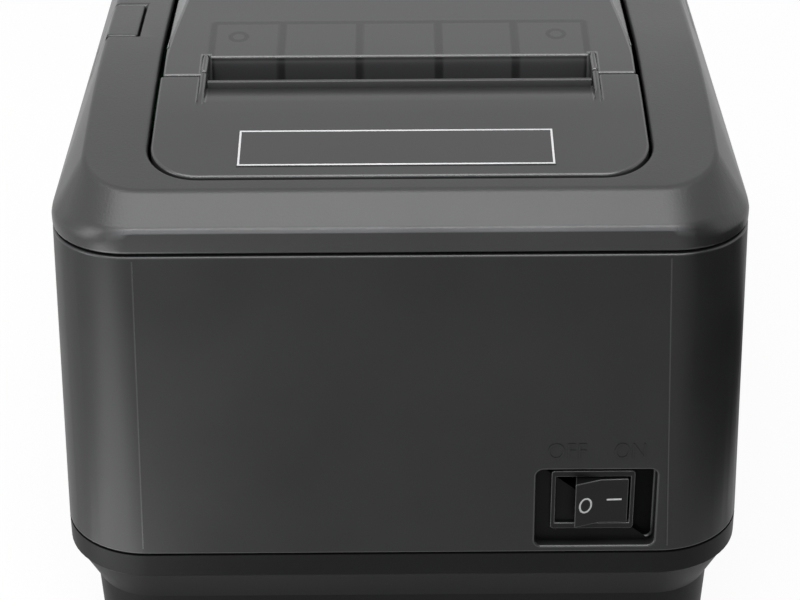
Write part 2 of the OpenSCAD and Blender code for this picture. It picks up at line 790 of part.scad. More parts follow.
module paper_sensor() {
    color("#151515") span([-5.7, guide_y - 1.6, guide_top - 8.7], [5.7, guide_y + 2.4, guide_top - 4.3]);
}

// ---------- cutter ----------

module cutter_frame() {
    color("silver") difference() {
        union() {
            span([-cut_wall_x - cut_wall_t, mech_front_y, cut_floor_z],
                [cut_wall_x + cut_wall_t, blade_edge_y - 0.5, cut_floor_z + cut_floor_t]);
            for (x = [-1, 1]) {
                translate([x * (cut_wall_x + cut_wall_t / 2) - cut_wall_t / 2, 0, 0]) side_profile(0, cut_wall_t)
                    polygon([[mech_front_y, cut_floor_z], [blade_edge_y - 4, cut_floor_z], [blade_edge_y - 4, cut_shaft_z - 4],
                        [cut_shaft_y + 6, cut_shaft_z + 4.5], [cut_shaft_y - 6, cut_shaft_z + 4.5],
                        [mech_front_y, cut_shaft_z - 5]]);
            }
            for (x = [-1, 1]) {
                span([x * 36 - 2, blade_edge_y - 14, cut_floor_z], [x * 36 + 2, blade_edge_y - 4, blade_z - run_gap]);
                span([x * rack_x - 2, cut_shaft_y - 10, cut_floor_z], [x * rack_x + 2, cut_shaft_y + 8, blade_z - run_gap]);
            }
        }
        along_x(-60, 60, cut_shaft_y, cut_shaft_z, cut_shaft_r + shaft_play);
        along_x(-60, 0, cut_motor_y, cut_motor_z, 3);
        span([-cut_wall_x - eps, cut_motor_y - cut_motor_r - 0.3, cut_floor_z - 1],
            [-cut_wall_x + cut_motor_len + 4, cut_motor_y + cut_motor_r + 0.5, cut_floor_z + 3]);
    }
}

module cutter_motor() {
    color("silver") {
        along_x(-plate_x, -cut_wall_x + cut_motor_len, cut_motor_y, cut_motor_z, cut_motor_r);
        along_x(-cut_wall_x - cut_wall_t, -plate_x + eps, cut_motor_y, cut_motor_z, 2.9);
        along_x(-thumb_x - thumb_w - 0.4, -cut_wall_x + eps, cut_motor_y, cut_motor_z, motor_shaft_r);
        along_x(-cut_wall_x + cut_motor_len - eps, -cut_wall_x + cut_motor_len + 1.5, cut_motor_y, cut_motor_z, 2.5);
    }
}

module cutter_motor_pinion() {
    color("#e8e4d8") spur(-thumb_x - thumb_w, thumb_w, cut_motor_y, cut_motor_z, cut_m, cut_motor_teeth,
        motor_shaft_r + shaft_play,
        cut_mesh_dir + 180 + 180 / cut_motor_teeth);
}

module thumb_gear() {
    color("#e8e4d8") spur(-thumb_x - thumb_w, thumb_w, cut_shaft_y, cut_shaft_z, cut_m, thumb_teeth,
        cut_shaft_r + eps, cut_mesh_dir);
}

module rack_pinions() {
    color("#e8e4d8") for (x = [-1, 1]) {
        spur(x * rack_x - rack_w / 2 - 0.5, rack_w + 1, cut_shaft_y, cut_shaft_z, cut_m, pinion_teeth, cut_shaft_r + eps, 270);
    }
}

module cutter_shaft() {
    color("silver") difference() {
        along_x(-thumb_x - thumb_w - 0.8, cut_wall_x + cut_wall_t + 1.5, cut_shaft_y, cut_shaft_z, cut_shaft_r);
        span([-thumb_x - thumb_w - 1, cut_shaft_y - 0.4, cut_shaft_z - 3],
            [-thumb_x - thumb_w - 0.3, cut_shaft_y + 0.4, cut_shaft_z + 3]);
    }
}

// Straight rack teeth along Y, with a gap centred under the pinion's lowest tooth
module rack_2d() {
    pitch = PI * cut_m;
    root = rack_pitch_z - 1.15 * cut_m;
    tip = rack_pitch_z + 0.85 * cut_m;
    half = pitch / 4 - backlash / 4;
    n = 2 * floor(rack_len / pitch / 2);
    translate([cut_shaft_y - n * pitch / 2, blade_z + blade_t - eps]) square([n * pitch, root - blade_z - blade_t + eps]);
    for (i = [0 : n - 1]) {
        translate([cut_shaft_y + (i - (n - 1) / 2) * pitch, 0]) polygon([
            [-half - 1.15 * cut_m * tan(20), root - eps], [-half + 0.85 * cut_m * tan(20), tip],
            [half - 0.85 * cut_m * tan(20), tip], [half + 1.15 * cut_m * tan(20), root - eps]]);
    }
}

blade_rear = 16;
tongue_hw = 5;

module cutter_blade() {
    color("silver") {
        difference() {
            translate([0, 0, blade_z]) linear_extrude(blade_t) {
                polygon([[-blade_hw, blade_edge_y], [0, blade_edge_y - 3], [blade_hw, blade_edge_y],
                    [blade_hw, blade_edge_y - blade_rear], [-blade_hw, blade_edge_y - blade_rear]]);
                for (x = [-1, 1]) {
                    translate([x * rack_x - tongue_hw, cut_shaft_y - rack_len / 2])
                        square([2 * tongue_hw, blade_edge_y - 4 - cut_shaft_y + rack_len / 2]);
                }
            }
            for (x = [-1, 1]) {
                translate([x * 32, blade_edge_y - 10, blade_z - 1]) cylinder(r = 1.6, h = 4);
            }
        }
        for (x = [-1, 1]) {
            side_profile(x * rack_x - rack_w / 2, x * rack_x + rack_w / 2) rack_2d();
        }
    }
}

// ---------- electronics ----------

sockets_z = board_z + board_t;
panel_y = ped_d / 2 - 1 - wall - panel_t - 0.4;
power_x = -31;
usb_x = -10;
lan_x = 10;
drawer_x = 31;
socket_fit = 0.3;

module socket_block(x, w, h, d) {
    span([x - w / 2, panel_y + panel_t + 0.6 - d, sockets_z], [x + w / 2, panel_y + panel_t + 0.6, sockets_z + h]);
}

module rear_panel() {
    color("#2b2c2f") difference() {
        span([-panel_w / 2 - 3, panel_y, pedestal_z + wall + 0.2], [panel_w / 2 + 3, panel_y + panel_t, panel_z + panel_h + 2]);
        for (s = [[power_x, 15, 13], [usb_x, 12.4, 11], [lan_x, 16.4, 13.6], [drawer_x, 13.4, 12.6]]) {
            span([s[0] - s[1] / 2 - socket_fit, panel_y - 1, sockets_z - socket_fit],
                [s[0] + s[1] / 2 + socket_fit, panel_y + 3, sockets_z + s[2] + socket_fit]);
        }
    }
}

module power_socket() {
    color("#111111") difference() {
        socket_block(power_x, 15, 13, 13);
        translate([power_x, panel_y - 8, sockets_z + 6.5]) rotate([-90, 0, 0]) cylinder(r = 4.8, h = 20);
    }
    color("gold") for (i = [0 : 2]) {
        translate([power_x + 2.2 * cos(90 + 120 * i), panel_y - 8 - eps, sockets_z + 6.5 + 2.2 * sin(90 + 120 * i)])
            rotate([-90, 0, 0]) cylinder(r = 0.5, h = 7);
    }
}

module usb_socket() {
    color("silver") difference() {
        socket_block(usb_x, 12.4, 11, 16);
        span([usb_x - 4.3, panel_y - 8, sockets_z + 1.4], [usb_x + 4.3, panel_y + 6, sockets_z + 9.6]);
    }
    color("white") span([usb_x - 2.8, panel_y - 8 - eps, sockets_z + 4], [usb_x + 2.8, panel_y - 1, sockets_z + 7.2]);
}

module lan_socket() {
    color("silver") difference() {
        socket_block(lan_x, 16.4, 13.6, 16);
        span([lan_x - 6, panel_y - 10, sockets_z + 1.6], [lan_x + 6, panel_y + 6, sockets_z + 9]);
        span([lan_x - 3, panel_y - 10, sockets_z + 8], [lan_x + 3, panel_y + 6, sockets_z + 11.4]);
    }
}

module drawer_socket() {
    color("#1a1a1a") difference() {
        socket_block(drawer_x, 13.4, 12.6, 16);
        span([drawer_x - 4.9, panel_y - 10, sockets_z + 1.6], [drawer_x + 4.9, panel_y + 6, sockets_z + 8.4]);
        span([drawer_x - 2, panel_y - 10, sockets_z + 8], [drawer_x + 2, panel_y + 6, sockets_z + 11]);
    }
}

module main_board() {
    color("#1d4a30") {
        difference() {
            translate([-board_w / 2, board_y - board_d / 2, board_z]) cube([board_w, board_d, board_t]);
            for (x = [-1, 1], y = [-1, 1]) {
                translate([x * (board_w / 2 - 5), board_y + y * (board_d / 2 - 5), board_z - 1])
                    cylinder(r = 1.6, h = 4);
            }
        }
        for (x = [-26, -6]) {
            span([x, 0, board_z + board_t - eps], [x + 14, 14, board_z + board_t + 1.4]);
        }
        for (x = [-24 : 12 : 24]) {
            translate([x, 44, board_z + board_t - eps]) cylinder(r = 4, h = 11);
        }
    }
}

light_floor_z = band_top - 6;

module light_pipes() {
    color("#e6f0e6") for (i = [0 : 2]) {
        translate([light_x, light_y + i * light_pitch, light_floor_z + 2.2]) intersection() {
            cylinder(r = light_r - 0.05, h = 40);
            translate([0, 0, crown(light_y - front_y + i * light_pitch) - light_floor_z - 2 - 40]) cube(80, center = true);
        }
    }
}

// Small board under the lights and the feed button, hung from two posts under the rim
tact_z = light_floor_z + 2.6;
tact_top_z = light_floor_z + 3.4;
board_post_y = [2, 33];
button_board_y0 = feed_y - 12;
button_board_y1 = light_y + 2 * light_pitch + 6;

module button_board() {
    color("#1d4a30") {
        span([-case_w / 2 + wall + 1.2, button_board_y0, light_floor_z - 1.6],
            [-open_hw - 1.2, button_board_y1, light_floor_z]);
        for (i = [0 : 2]) {
            translate([light_x, light_y + i * light_pitch, light_floor_z - eps]) cylinder(r = 1.5, h = 2.2);
        }
        translate([-spring_x, feed_y, light_floor_z - eps]) {
            translate([-3, -3, 0]) cube([6, 6, tact_z - light_floor_z + eps]);
            cylinder(r = 1, h = tact_top_z - light_floor_z + eps);
        }
    }
}

// ---------- switch ----------

module at_switch() {
    translate([switch_x, -low_d / 2 + draft * switch_up / housing_h + recess_depth, switch_z])
        rotate([90, 0, 0]) children();
}

bezel_h = 2;
window_w = switch_w - 2;
window_h = switch_h - 3;
rocker_h = window_h - 2 * run_gap;
rocker_half = 5.9;
rocker_rise = 9.6;
rocker_pivot = -6;
trunnion_r = 1;

module switch_body() {
    color("#151515") at_switch() {
        difference() {
            union() {
                linear_extrude(bezel_h) rounded(switch_w, switch_h, 0.8);
                translate([0, 0, -12]) linear_extrude(12.1) square([switch_w - 2, switch_h - 2], center = true);
                for (x = [-6, 0, 6]) {
                    translate([x - 0.4, -2.4, -19]) cube([0.8, 4.8, 7.2]);
                }
            }
            translate([0, 0, -10]) linear_extrude(20) square([window_w, window_h], center = true);
        }
        translate([0, -window_h / 2 - eps, rocker_pivot])
            rotate([-90, 0, 0]) cylinder(r = trunnion_r, h = window_h + 2 * eps);
    }
}

module rocker() {
    color("#1b1b1d") at_switch() translate([0, 0, rocker_pivot]) rotate([0, rocker_throw / 2, 0])
        rotate([90, 0, 0]) translate([0, 0, -rocker_h / 2]) linear_extrude(rocker_h) difference() {
            polygon([[-rocker_half, rocker_rise], [0, rocker_rise - 0.9], [rocker_half, rocker_rise],
                [rocker_half - 1.9, 3], [2.2, -2.2], [-2.2, -2.2], [-rocker_half + 1.9, 3]]);
            circle(trunnion_r + shaft_play);
        }
}

// ---------- platen and gears ----------

shaft_left_x = -(arm_x + arm_t + 1.4);
shaft_right_x = latch_x + latch_t - 0.1;

module platen_shaft() {
    color("silver") along_x(shaft_left_x, shaft_right_x, platen_y, platen_z, platen_shaft_r);
}

module platen_rubber() {
    color("#161616") difference() {
        along_x(-rubber_hw, rubber_hw, platen_y, platen_z, platen_r);
        along_x(-50, 50, platen_y, platen_z, platen_shaft_r);
    }
}

module platen_bushes() {
    color("#d8d4c4") for (x = [-1, 1]) {
        difference() {
            union() {
                along_x(min(x * (plate_x - 0.8), x * (arm_x - 0.2)), max(x * (plate_x - 0.8), x * (arm_x - 0.2)),
                    platen_y, platen_z, bush_r);
                along_x(min(x * (arm_x - 0.3), x * (arm_x + arm_t)), max(x * (arm_x - 0.3), x * (arm_x + arm_t)),
                    platen_y, platen_z, bush_r - 0.6);
            }
            along_x(-60, 60, platen_y, platen_z, platen_shaft_r + shaft_play);
        }
    }
}

module platen_gear() {
    color("#e8e4d8") spur(platen_gear_x, gear_w, platen_y, platen_z, feed_m, platen_teeth,
        platen_shaft_r + eps, mesh_1_dir);
}

module reduction_gear() {
    color("#e8e4d8") {
        spur(platen_gear_x, wheel_x - platen_gear_x, idler_y, idler_z, feed_m, small_teeth,
            stud_r + shaft_play, mesh_1_dir + 180 + 180 / small_teeth);
        spur(wheel_x - eps, wheel_w + eps, idler_y, idler_z, feed_m, wheel_teeth, stud_r + shaft_play, mesh_2_dir);
    }
}

module motor_pinion() {
    color("#e8e4d8") spur(wheel_x, wheel_w, motor_y, motor_z, feed_m, motor_teeth,
        motor_shaft_r + shaft_play, mesh_2_dir + 180 + 180 / motor_teeth);
}

// ---------- lid ----------

// The lid's outer form, lowered and narrowed by inset
module lid_form(inset) {
    hw = lid_hw - inset;
    intersection() {
        side_profile(-hw, hw) union() {
            polygon(concat([[hinge_y, hinge_z], [front_y + lid_front_s + inset, hinge_z - 6]],
                lid_points(lid_front_s + inset, hinge_y - front_y, inset)));
            translate([hinge_y, hinge_z]) circle(lid_roll_r - inset);
        }
        hull() {
            side_profile(-0.5, 0.5) polygon(concat([[rear_y, 0], [front_y, 0]],
                [for (p = crown_points(lid_front_s - 1, case_d)) p + [0, hw]]));
            for (x = [-1, 1]) {
                side_profile(x * 100 - 0.5, x * 100 + 0.5) polygon(concat([[rear_y, -60], [front_y, -60]],
                    [for (p = crown_points(lid_front_s - 1, case_d)) p + [0, hw - 100]]));
            }
        }
    }
}

// Slot recess taken from the lid's front, and the cheeks beside it
module lid_cover() {
    color("#6a6b6d") {
        difference() {
            lid_form(0);
            difference() {
                lid_form(lid_wall);
                side_profile(-slot_hw - cheek_t, slot_hw + cheek_t)
                    translate([front_y + slot_rear_s - 10, 100]) square([12, 60]);
            }
            side_profile(-lid_hw - 1, lid_hw + 1) polygon([[front_y, 90], [hinge_y + 1, 90], [hinge_y + 1, hinge_z + 0.2],
                [hinge_y - 12, hinge_z + 0.2], [front_y + slot_rear_s + 4, crown(slot_rear_s) - 7],
                [front_y, crown(slot_rear_s) - 7]]);
            side_profile(-slot_hw, slot_hw) polygon([[front_y, 90], [front_y + slot_rear_s - 1.6, 90],
                [front_y + slot_rear_s - 0.6, crown(slot_rear_s) - 2.5], [front_y + slot_rear_s, crown(slot_rear_s) - 0.8],
                [front_y + slot_rear_s, 160], [front_y, 160]]);
            for (x = [-1, 1]) {
                side_profile(x * (arm_x + arm_t / 2) - arm_t / 2 - 0.1, x * (arm_x + arm_t / 2) + arm_t / 2 + 0.1)
                    translate([hinge_y, hinge_z]) circle(knuckle_r + 0.1);
                span([x * ear_x - ear_t / 2 - run_gap, hinge_y - 5, hinge_z - 12],
                    [x * ear_x + ear_t / 2 + run_gap, hinge_y + 12, hinge_z + lid_roll_r - lid_wall - 0.3]);
            }
        }
        for (x = [-1, 1]) {
            side_profile(x * (slot_hw + cheek_t / 2) - cheek_t / 2, x * (slot_hw + cheek_t / 2) + cheek_t / 2)
                polygon([[front_y + lid_front_s, crown(lid_front_s) - 6.8], [front_y + slot_rear_s + 2, crown(slot_rear_s) - 6.8],
                    [front_y + slot_rear_s + 2, lid_top(slot_rear_s + 2) - 1], [front_y + slot_rear_s, lid_top(slot_rear_s) + cheek_h * 0.5],
                    [front_y + lid_front_s, lid_top(lid_front_s) + cheek_h]]);
        }
    }
}

guide_z = blade_z + 2.8;
guide_top_y = front_y + slot_rear_s - 1.8;
guide_top_z = crown(slot_rear_s) - 7.4;
guide_front_y = platen_y - 10;
rib_xs = [-25, -8.3, 8.3, 25];
tie_s = slot_rear_s + 6;
knuckle_r = lid_roll_r - lid_wall - 1.2;
tie_w = 12;
tie_t = 2;
tie_z = lid_top(tie_s) - lid_wall - tie_t;
lid_screw_x = 37;
lid_screw_y = front_y + tie_s + tie_w - 3.5;

// Moulding behind the paper slot that bends the paper upwards, with its ribs
module slot_guide() {
    color("#26272a") difference() {
        union() {
            side_profile(-slot_hw + 0.4, slot_hw - 0.4) polygon([
                [guide_top_y, guide_top_z], [guide_front_y, guide_z + 3], [guide_front_y, guide_z],
                [platen_y + 4, guide_z], [platen_y + 4, guide_z + 2],
                [guide_top_y + 4, guide_top_z - 3], [guide_top_y + 9, guide_top_z - 1],
                [guide_top_y + 13, tie_z], [guide_top_y + 5.4, tie_z],
                [guide_top_y + 5, guide_top_z]]);
            for (x = rib_xs) {
                side_profile(x - 0.7, x + 0.7) polygon([[guide_top_y - 0.4, guide_top_z],
                    [guide_top_y - 2, guide_top_z - 4], [guide_front_y - 0.8, guide_z + 1.6],
                    [guide_front_y, guide_z], [guide_top_y + 3, guide_top_z - 2]]);
            }
        }
        for (x = [-1, 1]) {
            translate([x * lid_screw_x, lid_screw_y, 100]) cylinder(r = 2.7, h = 60);
        }
    }
}

// Inner frame of the lid: arms that carry the platen, roll cover and hinge knuckles
module lid_frame() {
    color("#26272a") difference() {
        union() {
            difference() {
                side_profile(-arm_x - 0.1, arm_x + 0.1) difference() {
                    translate([bay_y, bay_z]) circle(bay_r + 3.2);
                    translate([bay_y, bay_z]) circle(bay_r + 1.7);
                    translate([-200, 0]) square([400, well_top_z + 1.5]);
                }
                span([-60, front_y, 90], [60, front_y + slot_rear_s + 2, 140]);
            }
            side_profile(-arm_x - arm_t, arm_x + arm_t) polygon(concat(
                [[front_y + tie_s + tie_w, tie_z], [front_y + tie_s, tie_z]],
                lid_points(tie_s, tie_s + tie_w, lid_wall + 0.1, 4)));
            for (x = [-1, 1]) {
                lid_arm(x);
            }
        }
        along_x(-80, 80, platen_y, platen_z, bush_r - 0.6);
        along_x(-80, 80, hinge_y, hinge_z, hinge_pin_r + shaft_play);
        for (x = [-1, 1]) {
            translate([x * lid_screw_x, lid_screw_y, 100]) cylinder(r = 1.3, h = 60);
        }
    }
}

module lid_arm(x) {
    x0 = x > 0 ? arm_x : -arm_x - arm_t;
    side_profile(x0, x0 + arm_t) difference() {
        union() {
            translate([platen_y, platen_z]) circle(bush_r + 2);
            polygon([[platen_y - 6, platen_z], [platen_y - 6, blade_z + 8], [front_y + slot_rear_s - 1, crown(slot_rear_s) - 4],
                [front_y + tie_s, lid_top(slot_rear_s) - lid_wall - 0.2], [bay_y, crown(bay_y - front_y) + 1.8],
                [hinge_y - 14, crown(hinge_y - front_y - 14) + 1.6], [hinge_y, hinge_z + knuckle_r],
                [hinge_y + 1, hinge_z - knuckle_r + 0.5], [hinge_y - 20, hinge_z - 2], [bay_y, 126],
                [platen_y + 14, blade_z + 10], [platen_y + 6, platen_z]]);
            translate([hinge_y, hinge_z]) circle(knuckle_r);
        }
    }
}

module lid_screws() {
    color("silver") for (x = [-1, 1]) {
        translate([x * lid_screw_x, lid_screw_y, lid_top(tie_s) - lid_wall - tie_t - 1.4]) difference() {
            union() {
                cylinder(r = 2.4, h = 1.4);
                cylinder(r = 1.2, h = tie_t + 1.3);
            }
            translate([0, 0, -eps]) cylinder(r = 1, h = 0.9, $fn = 6);
        }
    }
}

module fixed_blade() {
    color("silver") difference() {
        span([-fixed_hw, platen_y - 10.4, blade_z + blade_t + head_gap], [fixed_hw, platen_y + 2, guide_z]);
        for (x = [-1, 1]) {
            translate([x * 34, platen_y - 3, blade_z]) cylinder(r = 1.6, h = 6);
        }
    }
}

module latch_lever() {
    color("silver") difference() {
        union() {
            side_profile(latch_x, latch_x + latch_t) {
                union() {
                    union() {
                        translate([latch_y, latch_z]) circle(4);
                        polygon([[latch_y - 1, latch_z - 4], [latch_y + latch_arm, latch_z - 2.5],
                            [latch_y + latch_arm, latch_z + 0.5], [latch_y, latch_z + 4], [platen_y + 5.5, platen_z + 8.5],
                            [platen_y + 1.6, platen_z + 8], [platen_y + 3.3, platen_z + 0.5], [platen_y + 3.6, platen_z - 4]]);
                    }
                }
            }
            span([latch_x, latch_y + latch_arm - 4, latch_z - 2.5], [case_w / 2 - button_in + 4, latch_y + latch_arm, latch_z + 0.5]);
        }
        along_x(0, 90, latch_y, latch_z, stud_r + shaft_play);
    }
}

// ---------- cutter cover ----------

dip_s = slot_front_s - 5.6;

module cutter_cover() {
    color("#545557") {
        difference() {
            intersection() {
                translate([0, 0, rim_z]) linear_extrude(60)
                    opening_2d(cover_hw, cover_front_s, front_y + cover_rear_s, cover_r);
                side_profile(-cover_hw, cover_hw) polygon(concat(
                    [[front_y + cover_rear_s, crown(slot_rear_s) - 6], [front_y + cover_front_s, crown(cover_front_s) - 2.2]],
                    crown_points(cover_front_s, cover_rear_s)));
            }
            intersection() {
                translate([0, 0, rim_z]) linear_extrude(60) opening_2d(cover_hw - lid_wall,
                    cover_front_s + lid_wall, front_y + cover_rear_s - 0.2, cover_r - lid_wall);
                side_profile(-cover_hw, cover_hw) polygon(concat(
                    [[front_y + cover_rear_s, 90], [front_y + cover_front_s, 90]],
                    crown_points(cover_front_s, cover_rear_s, lid_wall)));
                span([-80, front_y, 80], [80, front_y + slot_front_s - 3.2, 160]);
            }
            side_profile(-slot_hw, slot_hw) polygon([[front_y + dip_s - 1.5, crown(dip_s - 1.5)],
                [front_y + dip_s, crown(dip_s) - 0.3], [front_y + slot_front_s - 0.8, crown(slot_front_s) - 1.6],
                [front_y + slot_front_s, crown(slot_front_s) - 1.4],
                [front_y + slot_front_s, 100], [front_y + cover_rear_s + 2, 100], [front_y + cover_rear_s + 2, 160],
                [front_y + dip_s - 1.5, 160]]);
        }
        for (x = [-1, 1]) {
            side_profile(x * (slot_hw + cheek_t / 2) - cheek_t / 2, x * (slot_hw + cheek_t / 2) + cheek_t / 2)
                polygon([[front_y + dip_s - 6.4, crown(dip_s - 6.4) - 0.5], [front_y + cover_rear_s, crown(slot_rear_s) - 6],
                    [front_y + cover_rear_s, crown(cover_rear_s) + cheek_h], [front_y + dip_s, crown(dip_s) + cheek_h * 0.8]]);
        }
    }
}

label_w = 65.5;
label_d = 12.2;
label_s = 20;
label_t = 0.12;
label_x = -0.8;

module cover_label() {
    color("#3c3d3f") translate([label_x, front_y + label_s, crown(label_s)]) rotate([top_slope, 0, 0])
        translate([-label_w / 2, -label_d / 2, eps]) cube([label_w, label_d, label_t]);
}

// ---------- buttons ----------

// Hollow push button that follows the rim's bevel, with a skirt that slides inside the rim's wall
module button_shell(side, y, len, travel) {
    x0 = case_w / 2 - button_in + button_gap;
    half = len / 2 - button_gap;
    bottom = button_cut_z + travel + button_gap;
    difference() {
        union() {
            intersection() {
                rim_outer();
                translate([side * x0, y - half, bottom]) mirror([side < 0 ? 1 : 0, 0, 0]) cube([40, 2 * half, 40]);
            }
            translate([side * x0, y - half, skirt_z]) mirror([side < 0 ? 1 : 0, 0, 0])
                cube([skirt_out - x0, 2 * half, bottom + 0.5 - skirt_z]);
        }
        translate([side * (x0 + button_wall), y - half + button_wall, skirt_z - 1]) mirror([side < 0 ? 1 : 0, 0, 0])
            cube([skirt_out - x0 - 2 * button_wall, 2 * (half - button_wall), button_seat_z - skirt_z + 1]);
    }
}

module feed_button() {
    color("#5a5b5d") {
        button_shell(-1, feed_y, feed_len, feed_travel);
        translate([-spring_x, feed_y, tact_top_z + feed_travel + run_gap])
            cylinder(r = 1, h = button_seat_z + 0.5 - tact_top_z - feed_travel - run_gap);
    }
}

module feed_button_spring() {
    color("silver") translate([-spring_x, feed_y, tact_z + 0.05])
        coil_spring(1.7, 0.3, button_seat_z - tact_z - 0.1, 6);
}

release_stem_x = case_w / 2 - button_in + 2.2;
release_stem_y = latch_y + latch_arm - 2;

module release_button() {
    color("#5a5b5d") {
        button_shell(1, release_y, release_len, release_travel);
        span([release_stem_x - 1.2, release_stem_y - 1, latch_z + 0.8], [release_stem_x + 1.2, release_stem_y + 1, button_seat_z + 1]);
    }
}

module release_spring() {
    color("silver") translate([spring_x, release_y, spring_seat_z + 0.05])
        coil_spring(1.7, 0.35, button_seat_z - spring_seat_z - 0.1, 6);
}

base_case();
bottom_cover();
rubber_feet();
case_screws();
main_housing();
top_rim();
paper_well();
mech_plate_left();
mech_plate_right();
mech_crossbar();
print_head();
head_heatsink();
head_springs();
feed_motor();
gear_studs();
paper_guide();
paper_sensor();
cutter_frame();
cutter_motor();
rear_panel();
power_socket();
usb_socket();
lan_socket();
drawer_socket();
main_board();
light_pipes();
button_board();
switch_body();
hinge_pins();
motor_pinion();
reduction_gear();
platen_shaft();
platen_rubber();
platen_gear();
platen_bushes();
lid_cover();
lid_frame();
slot_guide();
lid_screws();
fixed_blade();
cutter_shaft();
rack_pinions();
thumb_gear();
cutter_motor_pinion();
cutter_blade();
cutter_cover();
cover_label();
rocker();
feed_button();
feed_button_spring();
release_button();
release_spring();
latch_lever();
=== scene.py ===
"""Counter-top receipt printer: finishes, rounded mouldings, tear lip, markings, stage and camera."""

import json
import math

import bmesh
import bpy
from mathutils import Euler, Matrix, Vector
from mathutils.bvhtree import BVHTree

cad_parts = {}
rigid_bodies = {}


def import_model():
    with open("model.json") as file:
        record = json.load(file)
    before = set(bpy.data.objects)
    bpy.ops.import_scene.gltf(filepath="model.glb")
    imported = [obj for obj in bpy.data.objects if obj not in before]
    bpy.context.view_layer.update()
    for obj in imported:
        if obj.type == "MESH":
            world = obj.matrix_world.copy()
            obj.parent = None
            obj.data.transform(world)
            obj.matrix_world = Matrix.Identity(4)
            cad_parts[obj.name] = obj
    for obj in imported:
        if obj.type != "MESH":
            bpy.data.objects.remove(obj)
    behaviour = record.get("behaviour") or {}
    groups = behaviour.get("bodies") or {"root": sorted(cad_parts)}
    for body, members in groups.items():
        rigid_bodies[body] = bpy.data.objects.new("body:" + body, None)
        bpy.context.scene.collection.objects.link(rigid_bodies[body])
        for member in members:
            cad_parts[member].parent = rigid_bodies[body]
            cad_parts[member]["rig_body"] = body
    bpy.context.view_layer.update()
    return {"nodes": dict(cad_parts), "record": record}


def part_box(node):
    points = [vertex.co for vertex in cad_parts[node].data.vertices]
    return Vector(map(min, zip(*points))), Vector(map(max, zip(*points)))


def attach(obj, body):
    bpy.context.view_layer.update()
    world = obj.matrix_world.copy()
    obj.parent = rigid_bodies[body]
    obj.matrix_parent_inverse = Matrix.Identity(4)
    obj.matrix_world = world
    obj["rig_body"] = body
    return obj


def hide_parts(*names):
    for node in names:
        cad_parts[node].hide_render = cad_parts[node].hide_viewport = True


bl_info = {
    "name": "Receipt Printer",
    "version": (1, 0, 0),
    "blender": (4, 5, 0),
    "location": "3D View > Sidebar > Printer",
    "description": "Dresses a counter-top receipt printer with rounded mouldings and finishes",
    "category": "Object",
}

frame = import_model()
NODES = frame["nodes"]
MM = 0.001


# ---------- places, in millimetres unless a comment says otherwise ----------

# The housing's front leans back by this much over this height
FRONT_SETBACK = 2.2
FRONT_HEIGHT = 72.5
FRONT_LEAN = math.atan2(FRONT_SETBACK, FRONT_HEIGHT)

# Ribs and screw bosses moulded under the lid: across, and from front to back
RIB_PLACES = (-25.9, -8.8, 8.7, 25.5)
RIB_HALF_W = 0.7
RIB_SIDE = 41.3
RIB_SIDE_HALF_W = 0.6
RIB_REACH = (-41.5, -26.6)
RIB_END_HALF_W = 0.5
BOSS_PLACES = ((-35.6, -32.6), (34.8, -32.2))
BOSS_RADII = (1.5, 2.1)

# Raised words over the switch: piece, word, left and right edge; height of their foot on the front
LETTERING = (("letters_off", "OFF", 31.0, 39.2), ("letters_on", "ON", 45.2, 51.7))
LETTER_FOOT = 23.8

# Across and up: the middle of the two marks on the rocker
RING_PLACE = (39.35, 50.3)
BAR_PLACE = (45.6, 51.0)

# Fine upright lines on the front: across at the top and at the foot; heights of both ends; thickness
PANEL_LINES = ((-54.5, -56.4), (54.9, 57.5))
PANEL_LINE_REACH = (1.5, 71.5)
PANEL_LINE_RISE = 0.03

# Shade round the switch: how far it goes left and right of it, and above and below it;
# the depths behind the front over which it fades in and out
RECESS_BESIDE = (5, 6)
RECESS_OVER = 4
RECESS_FADE_IN = (0.3, 2.6)
RECESS_FADE_OUT = (18, 20)

# How far a printed or raised piece is sunk in what carries it
PRINT_SINK = 0.02
RAISED_SINK = 0.05

# Bare edge left round the label's printed border: across, and from front to back
LABEL_MARGIN = (0.15, 0.2)

# Tear lip: rounding along its top, depth of its foot in the cover, and how far in front of its rear
# the cover's height is taken
LIP_CURVE = 0.35
LIP_SINK = 0.3
LIP_PROBE = 0.4

# Spring contacts: number in each socket; spacing; width, length and thickness; slope in degrees;
# how far their middle is in front of the socket's rear and over its foot
CONTACT_ROWS = (("lan_socket", 8), ("drawer_socket", 6))
CONTACT_PITCH = 1.02
CONTACT_SIZE = (0.42, 7.0, 0.3)
CONTACT_SLOPE = 9
CONTACT_PLACE = (5.6, 2.0)

# Where a search for a surface starts, in metres: height over the printer, place in front of it
SEARCH_HEIGHT = 0.3
SEARCH_FRONT = -0.2

# Camera, in metres and degrees
CAMERA_PLACE = (-0.0002, -0.4842, 0.3231)
CAMERA_TILT = 60.2
CAMERA_ROLL = -0.38

# Lamps, in metres: place, size, the setting that gives the power, and the share of it; all aimed at AIM_AT
AIM_AT = (0, 0, 0.08)
LAMPS = {
    "key": ((-0.12, -0.52, 1.3), (1.4, 0.75), "key", 1.0),
    "side_left": ((-0.75, -0.45, 0.22), (0.3, 0.4), "side", 1.0),
    "side_right": ((1.2, -0.5, 0.35), (0.3, 0.9), "side", 0.2),
    "rear": ((0.0, 1.3, 1.5), (1.8, 0.9), "key", 0.15),
    "edge_strip": ((0.0, -1.0, 0.78), (1.3, 0.07), "key", 0.26),
}

# Glowing card on the floor at the left front corner: place and size in metres, turn in degrees
BOUNCE_PLACE = (-0.145, -0.188, 0.003)
BOUNCE_SIZE = (0.085, 0.19)
BOUNCE_TURN = -40

